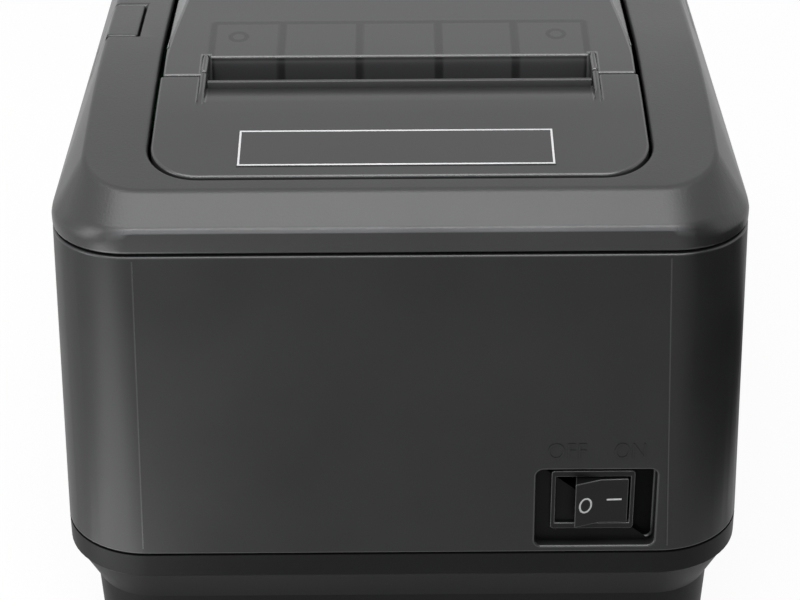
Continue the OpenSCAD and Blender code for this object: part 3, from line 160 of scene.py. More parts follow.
# Corners of the black cards, and the floor's radius, in metres
SHADE_CARDS = {
    "upright_card": ((0.2, -0.42, 0.02), (0.16, -0.13, 0.02), (0.16, -0.13, 0.3), (0.2, -0.42, 0.3)),
    "floor_card": ((0.135, -0.3, 0.001), (0.5, -0.3, 0.001), (0.5, 0.06, 0.001), (0.135, 0.06, 0.001)),
}
FLOOR_RADIUS = 6.0


# ---------- sizes and colours ----------


class PlasticSettings(bpy.types.PropertyGroup):
    """Colours and grain of the mouldings."""

    housing: bpy.props.FloatVectorProperty(
        name="Housing", description="Colour of the main housing",
        default=(0.0098, 0.01, 0.0105), subtype="COLOR", min=0.0, max=1.0)
    base: bpy.props.FloatVectorProperty(
        name="Base", description="Colour of the base",
        default=(0.0055, 0.0056, 0.006), subtype="COLOR", min=0.0, max=1.0)
    rim: bpy.props.FloatVectorProperty(
        name="Rim", description="Colour of the top rim",
        default=(0.021, 0.0213, 0.022), subtype="COLOR", min=0.0, max=1.0)
    lid: bpy.props.FloatVectorProperty(
        name="Lid", description="Colour of the paper lid",
        default=(0.031, 0.0314, 0.0323), subtype="COLOR", min=0.0, max=1.0)
    grain: bpy.props.FloatProperty(
        name="Grain", description="Size of the moulded grain",
        default=0.35 * MM, unit="LENGTH", min=0.05 * MM, max=2 * MM)


class ShellSettings(bpy.types.PropertyGroup):
    """Edge rounding of the mouldings, and the tear lip."""

    housing_edge: bpy.props.FloatProperty(
        name="Housing edge", description="Radius along the housing's edges",
        default=0.45 * MM, unit="LENGTH", min=0.1 * MM, max=1 * MM)
    rim_edge: bpy.props.FloatProperty(
        name="Rim edge", description="Radius along the rim's edges",
        default=0.9 * MM, unit="LENGTH", min=0.1 * MM, max=1.5 * MM)
    lid_edge: bpy.props.FloatProperty(
        name="Lid edge", description="Radius along the lid's edges",
        default=0.5 * MM, unit="LENGTH", min=0.1 * MM, max=1 * MM)
    lip_place: bpy.props.FloatProperty(
        name="Lip place", description="From the housing's foremost edge to the tear lip's rear face",
        default=46.8 * MM, unit="LENGTH", min=30 * MM, max=60 * MM)
    lip_height: bpy.props.FloatProperty(
        name="Lip height", description="Height of the tear lip over the cover",
        default=1.7 * MM, unit="LENGTH", min=0.5 * MM, max=3 * MM)
    lip_thick: bpy.props.FloatProperty(
        name="Lip thickness", description="Thickness of the tear lip",
        default=1.0 * MM, unit="LENGTH", min=0.5 * MM, max=2 * MM)
    lip_half_w: bpy.props.FloatProperty(
        name="Lip half width", description="Half of the tear lip's length",
        default=41.3 * MM, unit="LENGTH", min=30 * MM, max=50 * MM)
    small_edge: bpy.props.FloatProperty(
        name="Small edge", description="Radius along the edges of small pieces",
        default=0.2 * MM, unit="LENGTH", min=0.05 * MM, max=0.5 * MM)


class MarkSettings(bpy.types.PropertyGroup):
    """Sizes of the marks on the front, the switch and the label."""

    letter_h: bpy.props.FloatProperty(
        name="Letter height", description="Height of the raised letters above the switch",
        default=3.9 * MM, unit="LENGTH", min=1 * MM, max=6 * MM)
    letter_rise: bpy.props.FloatProperty(
        name="Letter rise", description="How far the letters stand proud",
        default=0.16 * MM, unit="LENGTH", min=0.05 * MM, max=0.4 * MM)
    print_rise: bpy.props.FloatProperty(
        name="Print thickness", description="Thickness of printed marks",
        default=0.03 * MM, unit="LENGTH", min=0.01 * MM, max=0.1 * MM)
    ring_w: bpy.props.FloatProperty(
        name="Ring width", description="Width of the off mark on the rocker",
        default=3.1 * MM, unit="LENGTH", min=1 * MM, max=5 * MM)
    ring_h: bpy.props.FloatProperty(
        name="Ring height", description="Height of the off mark on the rocker",
        default=3.9 * MM, unit="LENGTH", min=1 * MM, max=6 * MM)
    stroke: bpy.props.FloatProperty(
        name="Stroke", description="Line width of the rocker's marks",
        default=0.42 * MM, unit="LENGTH", min=0.1 * MM, max=1 * MM)
    bar: bpy.props.FloatProperty(
        name="Bar length", description="Length of the on mark on the rocker",
        default=3.2 * MM, unit="LENGTH", min=1 * MM, max=5 * MM)
    border: bpy.props.FloatProperty(
        name="Label border", description="Line width of the label's border",
        default=0.42 * MM, unit="LENGTH", min=0.1 * MM, max=1 * MM)
    panel_line: bpy.props.FloatProperty(
        name="Panel line", description="Width of the two upright lines on the front",
        default=0.28 * MM, unit="LENGTH", min=0.1 * MM, max=1 * MM)


class StageSettings(bpy.types.PropertyGroup):
    """Camera, lamps and floor."""

    focal: bpy.props.FloatProperty(
        name="Focal length", description="Camera focal length in millimetres",
        default=98.7, min=20.0, max=300.0)
    key: bpy.props.FloatProperty(
        name="Key light", description="Power of the light above the front",
        default=19.0, subtype="POWER", min=0.0, max=200.0)
    side: bpy.props.FloatProperty(
        name="Side light", description="Power of the light at the left",
        default=2.2, subtype="POWER", min=0.0, max=200.0)
    sky: bpy.props.FloatProperty(
        name="Sky", description="Strength of the room's even light",
        default=0.3, min=0.0, max=2.0)
    bounce: bpy.props.FloatProperty(
        name="Bounce card", description="Power of the low card at the left front corner",
        default=0.24, subtype="POWER", min=0.0, max=5.0)
    whiteness: bpy.props.FloatProperty(
        name="Whiteness", description="How far the floor is seen as plain white, the rest being lit",
        default=0.93, min=0.0, max=1.0)


# ---------- materials ----------


def node_material(name):
    """New node material with its shader and its object coordinates."""
    mat = bpy.data.materials.new(name)
    mat.use_nodes = True
    tree = mat.node_tree
    shader = tree.nodes["Principled BSDF"]
    coord = tree.nodes.new("ShaderNodeTexCoord")
    return mat, tree, shader, coord.outputs["Object"]


def noise(tree, coord, scale, detail=2.0, rough=0.5, stretch=None):
    """Noise texture on object coordinates, stretched along an axis if asked."""
    if stretch:
        mapping = tree.nodes.new("ShaderNodeMapping")
        mapping.inputs["Scale"].default_value = stretch
        tree.links.new(coord, mapping.inputs["Vector"])
        coord = mapping.outputs["Vector"]
    tex = tree.nodes.new("ShaderNodeTexNoise")
    tex.inputs["Scale"].default_value = scale
    tex.inputs["Detail"].default_value = detail
    tex.inputs["Roughness"].default_value = rough
    tree.links.new(coord, tex.inputs["Vector"])
    return tex.outputs["Fac"]


def spread(tree, value, low, high, start=0.3, stop=0.7):
    """Value from low to high as the input goes from start to stop."""
    rng = tree.nodes.new("ShaderNodeMapRange")
    rng.inputs["From Min"].default_value = start
    rng.inputs["From Max"].default_value = stop
    rng.inputs["To Min"].default_value = low
    rng.inputs["To Max"].default_value = high
    tree.links.new(value, rng.inputs["Value"])
    return rng.outputs["Result"]


def tint(tree, value, colour, depth):
    """The colour, made darker and lighter by depth as value goes from 0 to 1."""
    ramp = tree.nodes.new("ShaderNodeValToRGB")
    low, high = ramp.color_ramp.elements
    low.position, high.position = 0.3, 0.7
    low.color = [max(0.0, c * (1 - depth)) for c in colour[:3]] + [1]
    high.color = [min(1.0, c * (1 + depth)) for c in colour[:3]] + [1]
    tree.links.new(value, ramp.inputs["Fac"])
    return ramp.outputs["Color"]


def bump(tree, shader, value, height, distance):
    """Bump of the given strength, chained on to what the shader already has."""
    node = tree.nodes.new("ShaderNodeBump")
    node.inputs["Strength"].default_value = height
    node.inputs["Distance"].default_value = distance
    tree.links.new(value, node.inputs["Height"])
    links = shader.inputs["Normal"].links
    if links:
        tree.links.new(links[0].from_socket, node.inputs["Normal"])
    tree.links.new(node.outputs["Normal"], shader.inputs["Normal"])


def plastic(name, colour, rough, grain=0.00035, grain_height=0.25, specular=0.5, mottle=0.12):
    """Moulded plastic: fine spark-eroded grain, slight mottling and handling sheen."""
    mat, tree, shader, coord = node_material(name)
    fine = noise(tree, coord, 1 / grain, 2.0, 0.6)
    broad = noise(tree, coord, 38.0, 3.0, 0.55)
    tree.links.new(tint(tree, broad, colour, mottle), shader.inputs["Base Color"])
    tree.links.new(spread(tree, broad, rough - 0.035, rough + 0.035), shader.inputs["Roughness"])
    shader.inputs["Specular IOR Level"].default_value = specular
    if grain_height:
        bump(tree, shader, fine, grain_height, 0.00004)
    return mat


def metal(name, colour, rough):
    """Sheet or turned metal with fine lines along X."""
    mat, tree, shader, coord = node_material(name)
    lines = noise(tree, coord, 60.0, 3.0, 0.6, (1.0, 60.0, 60.0))
    cloud = noise(tree, coord, 90.0, 2.0)
    shader.inputs["Metallic"].default_value = 1.0
    tree.links.new(tint(tree, cloud, colour, 0.1), shader.inputs["Base Color"])
    tree.links.new(spread(tree, lines, rough - 0.06, rough + 0.1), shader.inputs["Roughness"])
    bump(tree, shader, lines, 0.12, 0.00002)
    return mat


def lighter(colour, times):
    """The colour, so many times as light."""
    return tuple(times * c for c in colour)


def build_materials():
    """Every finish of the printer, by name. An _edge finish is that of a finish's rounded edges; most are
    lighter than their finish, a painted highlight along the edges.
    """
    p = bpy.context.scene.printer_plastic
    return {
        "housing": housing_plastic(p.housing, 0.42, p.grain, 0.25),
        # Painted highlight: most edge finishes are lighter than their own finish, so that rounded edges
        # shine
        "housing_edge": plastic("Housing edge", lighter(p.housing, 1.9), 0.32, p.grain, 0.1),
        "base_edge": plastic("Base edge", lighter(p.base, 1.3), 0.4, p.grain, 0.2, specular=0.2),
        "rim_edge": rim_plastic("Rim edge", p.rim, 0.37, 1.6 * p.grain),
        "cover_edge": plastic("Cover edge", lighter(p.rim, 1.8), 0.25, p.grain, 0.1, specular=0.6),
        "lid_edge": plastic("Lid edge", lighter(p.lid, 1.8), 0.2, p.grain, 0.03, specular=0.6),
        "switch_edge": plastic("Switch edge", (0.03, 0.03, 0.031), 0.28, p.grain, 0.05),
        "base": plastic("Base plastic", p.base, 0.46, p.grain, specular=0.09),
        "rim": rim_plastic("Rim plastic", p.rim, 0.37, 1.6 * p.grain),
        "cover": plastic("Cover plastic", p.rim, 0.34, p.grain, 0.25, specular=0.42),
        "lid": smoky_lid(p.lid, 0.22, p.grain),
        "frame": plastic("Frame plastic", (0.006, 0.006, 0.0063), 0.5, p.grain, 0.2, specular=0.12),
        "switch": plastic("Switch plastic", (0.0045, 0.0045, 0.0048), 0.36, p.grain, 0.08, specular=0.16),
        "gear": plastic("Gear plastic", (0.62, 0.58, 0.47), 0.38, 0.0006, 0.05, mottle=0.05),
        "rubber": plastic("Rubber", (0.008, 0.008, 0.008), 0.75, 0.0005, 0.5, 0.3),
        "pipe": plastic("Light pipe", (0.32, 0.36, 0.34), 0.18, 0.0006, 0.0),
        "label": plastic("Label film", (0.012, 0.012, 0.0125), 0.3, 0.0006, 0.03, mottle=0.04),
        "ink": plastic("Frame ink", (0.55, 0.55, 0.56), 0.5, 0.0004, 0.05, mottle=0.15),
        # Painted highlight: the front's upright lines are lighter than the housing, standing for their
        # sheen
        "line": plastic("Housing line", lighter(p.housing, 1.6), 0.36, p.grain, 0.1),
        "mark": plastic("Switch mark", (0.34, 0.34, 0.34), 0.42, 0.0004, 0.05, mottle=0.04),
        "ceramic": plastic("Head ceramic", (0.5, 0.46, 0.39), 0.22, 0.0006, 0.02, mottle=0.05),
        "steel": metal("Plated steel", (0.52, 0.53, 0.54), 0.34),
        "blade": metal("Ground steel", (0.6, 0.61, 0.62), 0.24),
        "sink": metal("Extruded aluminium", (0.62, 0.63, 0.64), 0.36),
        "gold": metal("Gold contact", (0.78, 0.56, 0.2), 0.25),
        "board": circuit_board(),
    }


def ramp_bands(tree, value, low, high, bands, soft):
    """1 inside each (start, stop) band of the value and 0 outside, with soft edges."""
    unit = spread(tree, value, 0.0, 1.0, low, high)
    ramp = tree.nodes.new("ShaderNodeValToRGB")
    marks = []
    for start, stop in bands:
        marks += [(start - soft, 0.0), (start, 1.0), (stop, 1.0), (stop + soft, 0.0)]
    elements = ramp.color_ramp.elements
    while len(elements) < len(marks):
        elements.new(0.5)
    for element, (place, level) in zip(elements, marks):
        element.position = (place - low) / (high - low)
        element.color = (level, level, level, 1.0)
    tree.links.new(unit, ramp.inputs["Fac"])
    return ramp.outputs["Color"]


def combine(tree, operation, a, b):
    """Math node on two outputs."""
    node = tree.nodes.new("ShaderNodeMath")
    node.operation = operation
    tree.links.new(a, node.inputs[0])
    tree.links.new(b, node.inputs[1])
    return node.outputs[0]


def both(tree, a, b):
    """Product of two masks."""
    return combine(tree, "MULTIPLY", a, b)


def coords(tree, kind):
    """The material's coordinates of a kind: Object or Normal."""
    return next(n for n in tree.nodes if n.type == "TEX_COORD").outputs[kind]


def split(tree, kind):
    """X, Y and Z of the material's coordinates of a kind."""
    axes = tree.nodes.new("ShaderNodeSeparateXYZ")
    tree.links.new(coords(tree, kind), axes.inputs[0])
    return axes.outputs


def sideways(tree):
    """How far the surface faces left or right, from 0 to 1."""
    side = tree.nodes.new("ShaderNodeMath")
    side.operation = "ABSOLUTE"
    tree.links.new(split(tree, "Normal")["X"], side.inputs[0])
    return side.outputs[0]


def overlay(tree, shader, mask, colour, blend="MIX"):
    """Mixes or multiplies the shader's colour with another where the mask is 1."""
    mix = tree.nodes.new("ShaderNodeMixRGB")
    mix.blend_type = blend
    mix.inputs["Color2"].default_value = (*colour, 1.0)
    tree.links.new(mask, mix.inputs["Fac"])
    tree.links.new(shader.inputs["Base Color"].links[0].from_socket, mix.inputs["Color1"])
    tree.links.new(mix.outputs["Color"], shader.inputs["Base Color"])


def rim_plastic(name, colour, rough, grain):
    """The rim's plastic with painted light: darker on its upright band, a painted shade, and lighter and
    glossier along the ridge over the band, a painted highlight.
    """
    mat = plastic(name, colour, rough, grain, 0.8, specular=0.42)
    tree = mat.node_tree
    shader = tree.nodes["Principled BSDF"]
    up = split(tree, "Normal")["Z"]
    rise = both(tree, spread(tree, up, 0.0, 1.0, 0.05, 0.2), spread(tree, up, 1.0, 0.0, 0.5, 0.68))
    ridge = both(tree, rise, spread(tree, sideways(tree), 1.0, 0.0, 0.04, 0.3))
    # Painted light: darker on the upright band, a painted shade; much lighter along the ridge, a painted
    # highlight
    shade = combine(tree, "ADD", spread(tree, up, 0.62, 1.0, 0.05, 0.4),
                    spread(tree, ridge, 0.0, 3.2, 0.0, 1.0))
    toned = tree.nodes.new("ShaderNodeVectorMath")
    toned.operation = "SCALE"
    tree.links.new(shader.inputs["Base Color"].links[0].from_socket, toned.inputs[0])
    tree.links.new(shade, toned.inputs["Scale"])
    tree.links.new(toned.outputs["Vector"], shader.inputs["Base Color"])
    tree.links.new(spread(tree, ridge, rough, 0.24, 0.0, 1.0), shader.inputs["Roughness"])
    return mat


def housing_plastic(colour, rough, grain, specular):
    """The housing's plastic, with painted shade in the recess round the power switch, where it is made
    darker and less shiny.
    """
    mat = plastic("Housing plastic", colour, rough, grain, specular=specular)
    tree = mat.node_tree
    shader = tree.nodes["Principled BSDF"]
    axes = split(tree, "Object")
    low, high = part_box("switch_body")
    left, right = low[0] - RECESS_BESIDE[0] * MM, high[0] + RECESS_BESIDE[1] * MM
    foot, top = low[2] - RECESS_OVER * MM, high[2] + RECESS_OVER * MM
    across = ramp_bands(tree, axes["X"], 0.0, 0.08, [(left, right)], 0.5 * MM)
    up = ramp_bands(tree, axes["Z"], 0.0, 0.12, [(foot, top)], 0.5 * MM)
    depth = tree.nodes.new("ShaderNodeVectorMath")
    depth.operation = "DOT_PRODUCT"
    depth.inputs[1].default_value = (0, math.cos(FRONT_LEAN), -math.sin(FRONT_LEAN))
    tree.links.new(coords(tree, "Object"), depth.inputs[0])
    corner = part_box("main_housing")[0]
    start = corner[1] * math.cos(FRONT_LEAN) - corner[2] * math.sin(FRONT_LEAN)
    near, full = (start + d * MM for d in RECESS_FADE_IN)
    last, gone = (start + d * MM for d in RECESS_FADE_OUT)
    deep = spread(tree, depth.outputs["Value"], 0.0, 1.0, near, full)
    shallow = spread(tree, depth.outputs["Value"], 1.0, 0.0, last, gone)
    mask = both(tree, both(tree, across, up), both(tree, deep, shallow))
    # Painted shade: the recess is made darker and less shiny, standing for the shade in it
    overlay(tree, shader, mask, (0.2, 0.2, 0.2), "MULTIPLY")
    tree.links.new(spread(tree, mask, specular, 0.03, 0.0, 1.0), shader.inputs["Specular IOR Level"])
    return mat


def smoky_lid(colour, rough, grain):
    """Polished smoky plastic: ribs and bosses under it show faintly; its side slopes are paler, a painted
    reflection.
    """
    mat = plastic("Lid plastic", colour, rough, grain, 0.03, specular=0.35, mottle=0.06)
    tree = mat.node_tree
    shader = tree.nodes["Principled BSDF"]
    axes = split(tree, "Object")
    centres = [(-RIB_SIDE, RIB_SIDE_HALF_W)] + [(x, RIB_HALF_W) for x in RIB_PLACES]
    centres.append((RIB_SIDE, RIB_SIDE_HALF_W))
    ribs = [((x - half) * MM, (x + half) * MM) for x, half in centres]
    front, back = RIB_REACH
    end = ((back - RIB_END_HALF_W) * MM, (back + RIB_END_HALF_W) * MM)
    across = ramp_bands(tree, axes["X"], -0.06, 0.06, ribs, 0.35 * MM)
    inside = ramp_bands(tree, axes["X"], -0.06, 0.06, [(-RIB_SIDE * MM, RIB_SIDE * MM)], 0.3 * MM)
    reach = ramp_bands(tree, axes["Y"], -0.06, 0.0, [(front * MM, back * MM)], 0.3 * MM)
    top = ramp_bands(tree, axes["Y"], -0.06, 0.0, [end], 0.3 * MM)
    mask = combine(tree, "MAXIMUM", both(tree, across, reach), both(tree, inside, top))
    inner, outer = BOSS_RADII
    for x, y in BOSS_PLACES:
        flat = tree.nodes.new("ShaderNodeMapping")
        flat.vector_type = "POINT"
        flat.inputs["Location"].default_value = (-x * MM, -y * MM, 0)
        flat.inputs["Scale"].default_value = (1, 1, 0)
        tree.links.new(coords(tree, "Object"), flat.inputs["Vector"])
        far = tree.nodes.new("ShaderNodeVectorMath")
        far.operation = "LENGTH"
        tree.links.new(flat.outputs["Vector"], far.inputs[0])
        ring = ramp_bands(tree, far.outputs["Value"], -0.004, 0.01, [(inner * MM, outer * MM)], 0.4 * MM)
        mask = combine(tree, "MAXIMUM", mask, ring)
    overlay(tree, shader, mask, (0.45, 0.45, 0.46), "MULTIPLY")
    # Painted reflection: the side slopes are made paler, as if they mirrored the room
    slope = both(tree, spread(tree, sideways(tree), 0.0, 1.0, 0.25, 0.45),
                 spread(tree, split(tree, "Normal")["Z"], 0.0, 1.0, 0.2, 0.4))
    overlay(tree, shader, slope, (0.2, 0.2, 0.204))
    return mat


def circuit_board():
    """Green solder mask with faint tracks under it."""
    mat, tree, shader, coord = node_material("Circuit board")
    tracks = noise(tree, coord, 420.0, 1.0, 0.3, (1.0, 0.25, 1.0))
    tree.links.new(tint(tree, tracks, (0.012, 0.075, 0.03), 0.45), shader.inputs["Base Color"])
    shader.inputs["Roughness"].default_value = 0.32
    bump(tree, shader, tracks, 0.3, 0.00003)
    return mat


# Finish of each material slot in the record
NODE_FINISH = {
    "base_plastic": "base", "housing_plastic": "housing", "rim_plastic": "rim",
    "cover_plastic": "cover", "lid_plastic": "lid", "frame_plastic": "frame",
    "switch_plastic": "switch", "steel": "steel", "blade_steel": "blade",
    "heatsink": "sink", "gear_plastic": "gear", "rubber": "rubber", "board": "board",
    "ceramic": "ceramic", "light_pipe": "pipe", "label_film": "label",
}
FINISH = {}


def paint(obj, *finishes):
    """Puts these finishes in the object's material slots."""
    obj.data.materials.clear()
    for finish in finishes:
        obj.data.materials.append(FINISH[finish])


# ---------- mesh helpers ----------


def body_of(node):
    """The CAD body that a node rides on."""
    return NODES[node]["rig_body"]


def slot_of(node):
    """The record's material slot of a node."""
    for part in frame["record"]["subparts"]:
        if part["node"] == node:
            return part["material_slot"]
    raise RuntimeError("no material slot for " + node)


def add_mesh(name, bm, flat_angle=30.0):
    """New object from a bmesh, smooth except at edges sharper than flat_angle."""
    mesh = bpy.data.meshes.new(name)
    bm.to_mesh(mesh)
    bm.free()
    mesh.shade_smooth()
    mesh.set_sharp_from_angle(angle=math.radians(flat_angle))
    obj = bpy.data.objects.new(name, mesh)
    bpy.context.scene.collection.objects.link(obj)
    return obj


def bake_modifiers(obj, flat_angle=None):
    """Turns an object's modifiers into its mesh, smooth up to flat_angle where that is given."""
    bpy.context.view_layer.update()
    graph = bpy.context.evaluated_depsgraph_get()
    mesh = bpy.data.meshes.new_from_object(obj.evaluated_get(graph), depsgraph=graph)
    obj.modifiers.clear()
    obj.data = mesh
    if flat_angle:
        mesh.shade_smooth()
        mesh.set_sharp_from_angle(angle=math.radians(flat_angle))


def merged_copy(node):
    """A node's mesh with its loose triangles merged and its flat faces joined."""
    bm = bmesh.new()
    bm.from_mesh(NODES[node].data)
    bmesh.ops.remove_doubles(bm, verts=bm.verts, dist=0.004 * MM)
    bmesh.ops.dissolve_limit(bm, angle_limit=math.radians(0.4), verts=bm.verts, edges=bm.edges)
    return bm


def rounded_shell(node, name, finish, width, angle=24.0, clamp=False):
    """Stands for a node's moulding: edges rounded in the finish's edge finish, a painted highlight, flat
    faces kept flat.
    """
    obj = add_mesh(name, merged_copy(node), angle)
    paint(obj, finish, finish + "_edge")
    mod = obj.modifiers.new("edges", "BEVEL")
    mod.width = width
    mod.segments = 3
    mod.limit_method = "ANGLE"
    mod.angle_limit = math.radians(angle)
    # The rounded edges take the edge finish, a painted highlight along them
    mod.material = 1
    mod.loop_slide = False
    mod.use_clamp_overlap = clamp
    bake_modifiers(obj, 40.0)
    mod = obj.modifiers.new("flat faces", "WEIGHTED_NORMAL")
    mod.keep_sharp = True
    mod.weight = 60
    bake_modifiers(obj)
    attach(obj, body_of(node))
    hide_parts(node)


def prism(bm, points, z0, z1, matrix):
    """Adds an upright prism on a closed outline given counter-clockwise."""
    low = [bm.verts.new((x, y, z0)) for x, y in points]
    high = [bm.verts.new((x, y, z1)) for x, y in points]
    bm.faces.new(list(reversed(low)))
    bm.faces.new(high)
    n = len(points)
    for i in range(n):
        j = (i + 1) % n
        bm.faces.new((low[i], low[j], high[j], high[i]))
    for vert in low + high:
        vert.co = matrix @ vert.co


def ring_prism(bm, outer, inner, z0, z1, matrix):
    """Adds a closed band between two outlines with the same number of points."""
    rings = [[bm.verts.new((x, y, z)) for x, y in pts]
             for pts, z in ((outer, z0), (outer, z1), (inner, z1), (inner, z0))]
    n = len(outer)
    for i in range(n):
        j = (i + 1) % n
        for a, b in ((0, 1), (1, 2), (2, 3), (3, 0)):
            bm.faces.new((rings[a][i], rings[a][j], rings[b][j], rings[b][i]))
    for ring in rings:
        for vert in ring:
            vert.co = matrix @ vert.co


# ---------- mouldings ----------


class PRINTER_OT_finishes(bpy.types.Operator):
    """Gives every CAD node the finish of its material slot"""

    bl_idname = "printer.finishes"
    bl_label = "Finishes"

    def execute(self, context):
        FINISH.update(build_materials())
        for node, obj in NODES.items():
            paint(obj, NODE_FINISH[slot_of(node)])
            obj.data.shade_smooth()
            obj.data.set_sharp_from_angle(angle=math.radians(30))
        return {"FINISHED"}


class PRINTER_OT_case(bpy.types.Operator):
    """Rounds the base, the housing and the top rim"""

    bl_idname = "printer.case"
    bl_label = "Case mouldings"

    def execute(self, context):
        s = context.scene.printer_shell
        rounded_shell("base_case", "base_shell", "base", s.housing_edge, clamp=True)
        rounded_shell("main_housing", "housing_shell", "housing", s.housing_edge)
        rounded_shell("top_rim", "rim_shell", "rim", s.rim_edge, angle=14.0)
        return {"FINISHED"}


class PRINTER_OT_lid(bpy.types.Operator):
    """Rounds the paper lid and the cutter cover"""

    bl_idname = "printer.lid"
    bl_label = "Lid and cover"

    def execute(self, context):
        s = context.scene.printer_shell
        rounded_shell("lid_cover", "lid_shell", "lid", s.lid_edge)
        rounded_shell("cutter_cover", "cover_shell", "cover", s.lid_edge)
        return {"FINISHED"}


class PRINTER_OT_buttons(bpy.types.Operator):
    """Rounds the buttons and the power switch"""

    bl_idname = "printer.buttons"
    bl_label = "Buttons and switch"

    def execute(self, context):
        s = context.scene.printer_shell
        for node in ("feed_button", "release_button"):
            rounded_shell(node, node + "_cap", "rim", s.lid_edge)
        rounded_shell("switch_body", "switch_bezel", "switch", s.small_edge)
        rounded_shell("rocker", "rocker_key", "switch", s.small_edge)
        return {"FINISHED"}


# ---------- stage ----------


def aim(obj, target):
    """Turns an object so that its -Z axis points at target."""
    obj.rotation_euler = (Vector(target) - obj.location).to_track_quat("-Z", "Y").to_euler()


def softbox(name, place, size, power):
    """Rectangular area lamp aimed at the printer."""
    lamp = bpy.data.lights.new(name, "AREA")
    lamp.shape = "RECTANGLE"
    lamp.size, lamp.size_y = size
    lamp.energy = power
    obj = bpy.data.objects.new(name, lamp)
    obj.location = place
    bpy.context.scene.collection.objects.link(obj)
    aim(obj, AIM_AT)
    return obj


def shade_card(name, corners):
    """Black card that keeps the room's light off one side of the printer."""
    bm = bmesh.new()
    bm.faces.new([bm.verts.new(c) for c in corners])
    card = add_mesh(name, bm)
    card.data.materials.append(plastic("Black card", (0.002, 0.002, 0.002), 0.9, specular=0.0))
    card.visible_camera = False
    card.visible_shadow = False


def seen_directly(tree):
    """1 for rays that reach a surface from the camera, a reflection or through glass."""
    path = tree.nodes.new("ShaderNodeLightPath")
    straight = combine(tree, "MAXIMUM", path.outputs["Is Camera Ray"], path.outputs["Is Glossy Ray"])
    return combine(tree, "MAXIMUM", straight, path.outputs["Is Transmission Ray"])


def mix_shaders(tree, share, lit, plain, output):
    """Gives the output the lit shading, and the plain one where share is 1."""
    mix = tree.nodes.new("ShaderNodeMixShader")
    for source, socket in zip((share, lit, plain), mix.inputs):
        tree.links.new(source, socket)
    tree.links.new(mix.outputs[0], tree.nodes[output].inputs["Surface"])


def place_camera(scene, focal):
    """The scene's camera, in front of the printer and over it."""
    camera = bpy.data.cameras.new("Camera")
    camera.lens = focal
    camera.sensor_width = 36
    camera.sensor_fit = "HORIZONTAL"
    camera.clip_start = 0.01
    view = bpy.data.objects.new("Camera", camera)
    view.location = CAMERA_PLACE
    tilt = Euler((math.radians(CAMERA_TILT), 0, 0)).to_matrix()
    roll = Euler((0, 0, math.radians(CAMERA_ROLL))).to_matrix()
    view.rotation_euler = (tilt @ roll).to_euler()
    scene.collection.objects.link(view)
    scene.camera = view


def lay_floor(whiteness):
    """Pale floor that is mostly seen as plain white."""
    bm = bmesh.new()
    bmesh.ops.create_circle(bm, cap_ends=True, segments=64, radius=FLOOR_RADIUS)
    floor = add_mesh("floor", bm)
    mat, tree, shader, coord = node_material("Pale floor")
    cloud = noise(tree, coord, 3.0, 2.0)
    tree.links.new(tint(tree, cloud, (0.8, 0.8, 0.8), 0.01), shader.inputs["Base Color"])
    shader.inputs["Roughness"].default_value = 0.9
    shader.inputs["Specular IOR Level"].default_value = 0.1
    glow = tree.nodes.new("ShaderNodeEmission")
    glow.inputs["Strength"].default_value = 1.0
    share = spread(tree, seen_directly(tree), 0.0, whiteness, 0.0, 1.0)
    mix_shaders(tree, share, shader.outputs[0], glow.outputs[0], "Material Output")
    floor.data.materials.append(mat)


def light_room(scene, strength):
    """Even light of the room, which is seen as plain white."""
    world = bpy.data.worlds.new("Room")
    scene.world = world
    world.use_nodes = True
    tree = world.node_tree
    sky = tree.nodes["Background"]
    white = tree.nodes.new("ShaderNodeBackground")
    for node, level in ((sky, strength), (white, 1.0)):
        node.inputs["Color"].default_value = (1, 1, 1, 1)
        node.inputs["Strength"].default_value = level
    mix_shaders(tree, seen_directly(tree), sky.outputs[0], white.outputs[0], "World Output")


class PRINTER_OT_stage(bpy.types.Operator):
    """Sets the floor, the room light, the lamps and the camera"""

    bl_idname = "printer.stage"
    bl_label = "Stage"

    def execute(self, context):
        scene = context.scene
        s = scene.printer_stage
        place_camera(scene, s.focal)
        lay_floor(s.whiteness)
        light_room(scene, s.sky)
        for name, (place, size, setting, share) in LAMPS.items():
            softbox(name, place, size, getattr(s, setting) * share)
        card = softbox("bounce_left", BOUNCE_PLACE, BOUNCE_SIZE, s.bounce)
        card.rotation_euler = (math.pi, 0, math.radians(BOUNCE_TURN))
        card.visible_camera = False
        for name, corners in SHADE_CARDS.items():
            shade_card(name, corners)
        scene.view_settings.view_transform = "Standard"
        return {"FINISHED"}


# ---------- marks and other added pieces ----------


def front_plane():
    """Matrix of the housing's leaning front: X across, Y up along it, Z outwards."""
    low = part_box("main_housing")[0]
    sine, cosine = math.sin(FRONT_LEAN), math.cos(FRONT_LEAN)
    turn = Matrix(((1, 0, 0), (0, sine, -cosine), (0, cosine, sine)))
    return Matrix.Translation(Vector((0, low[1], low[2]))) @ turn.to_4x4()


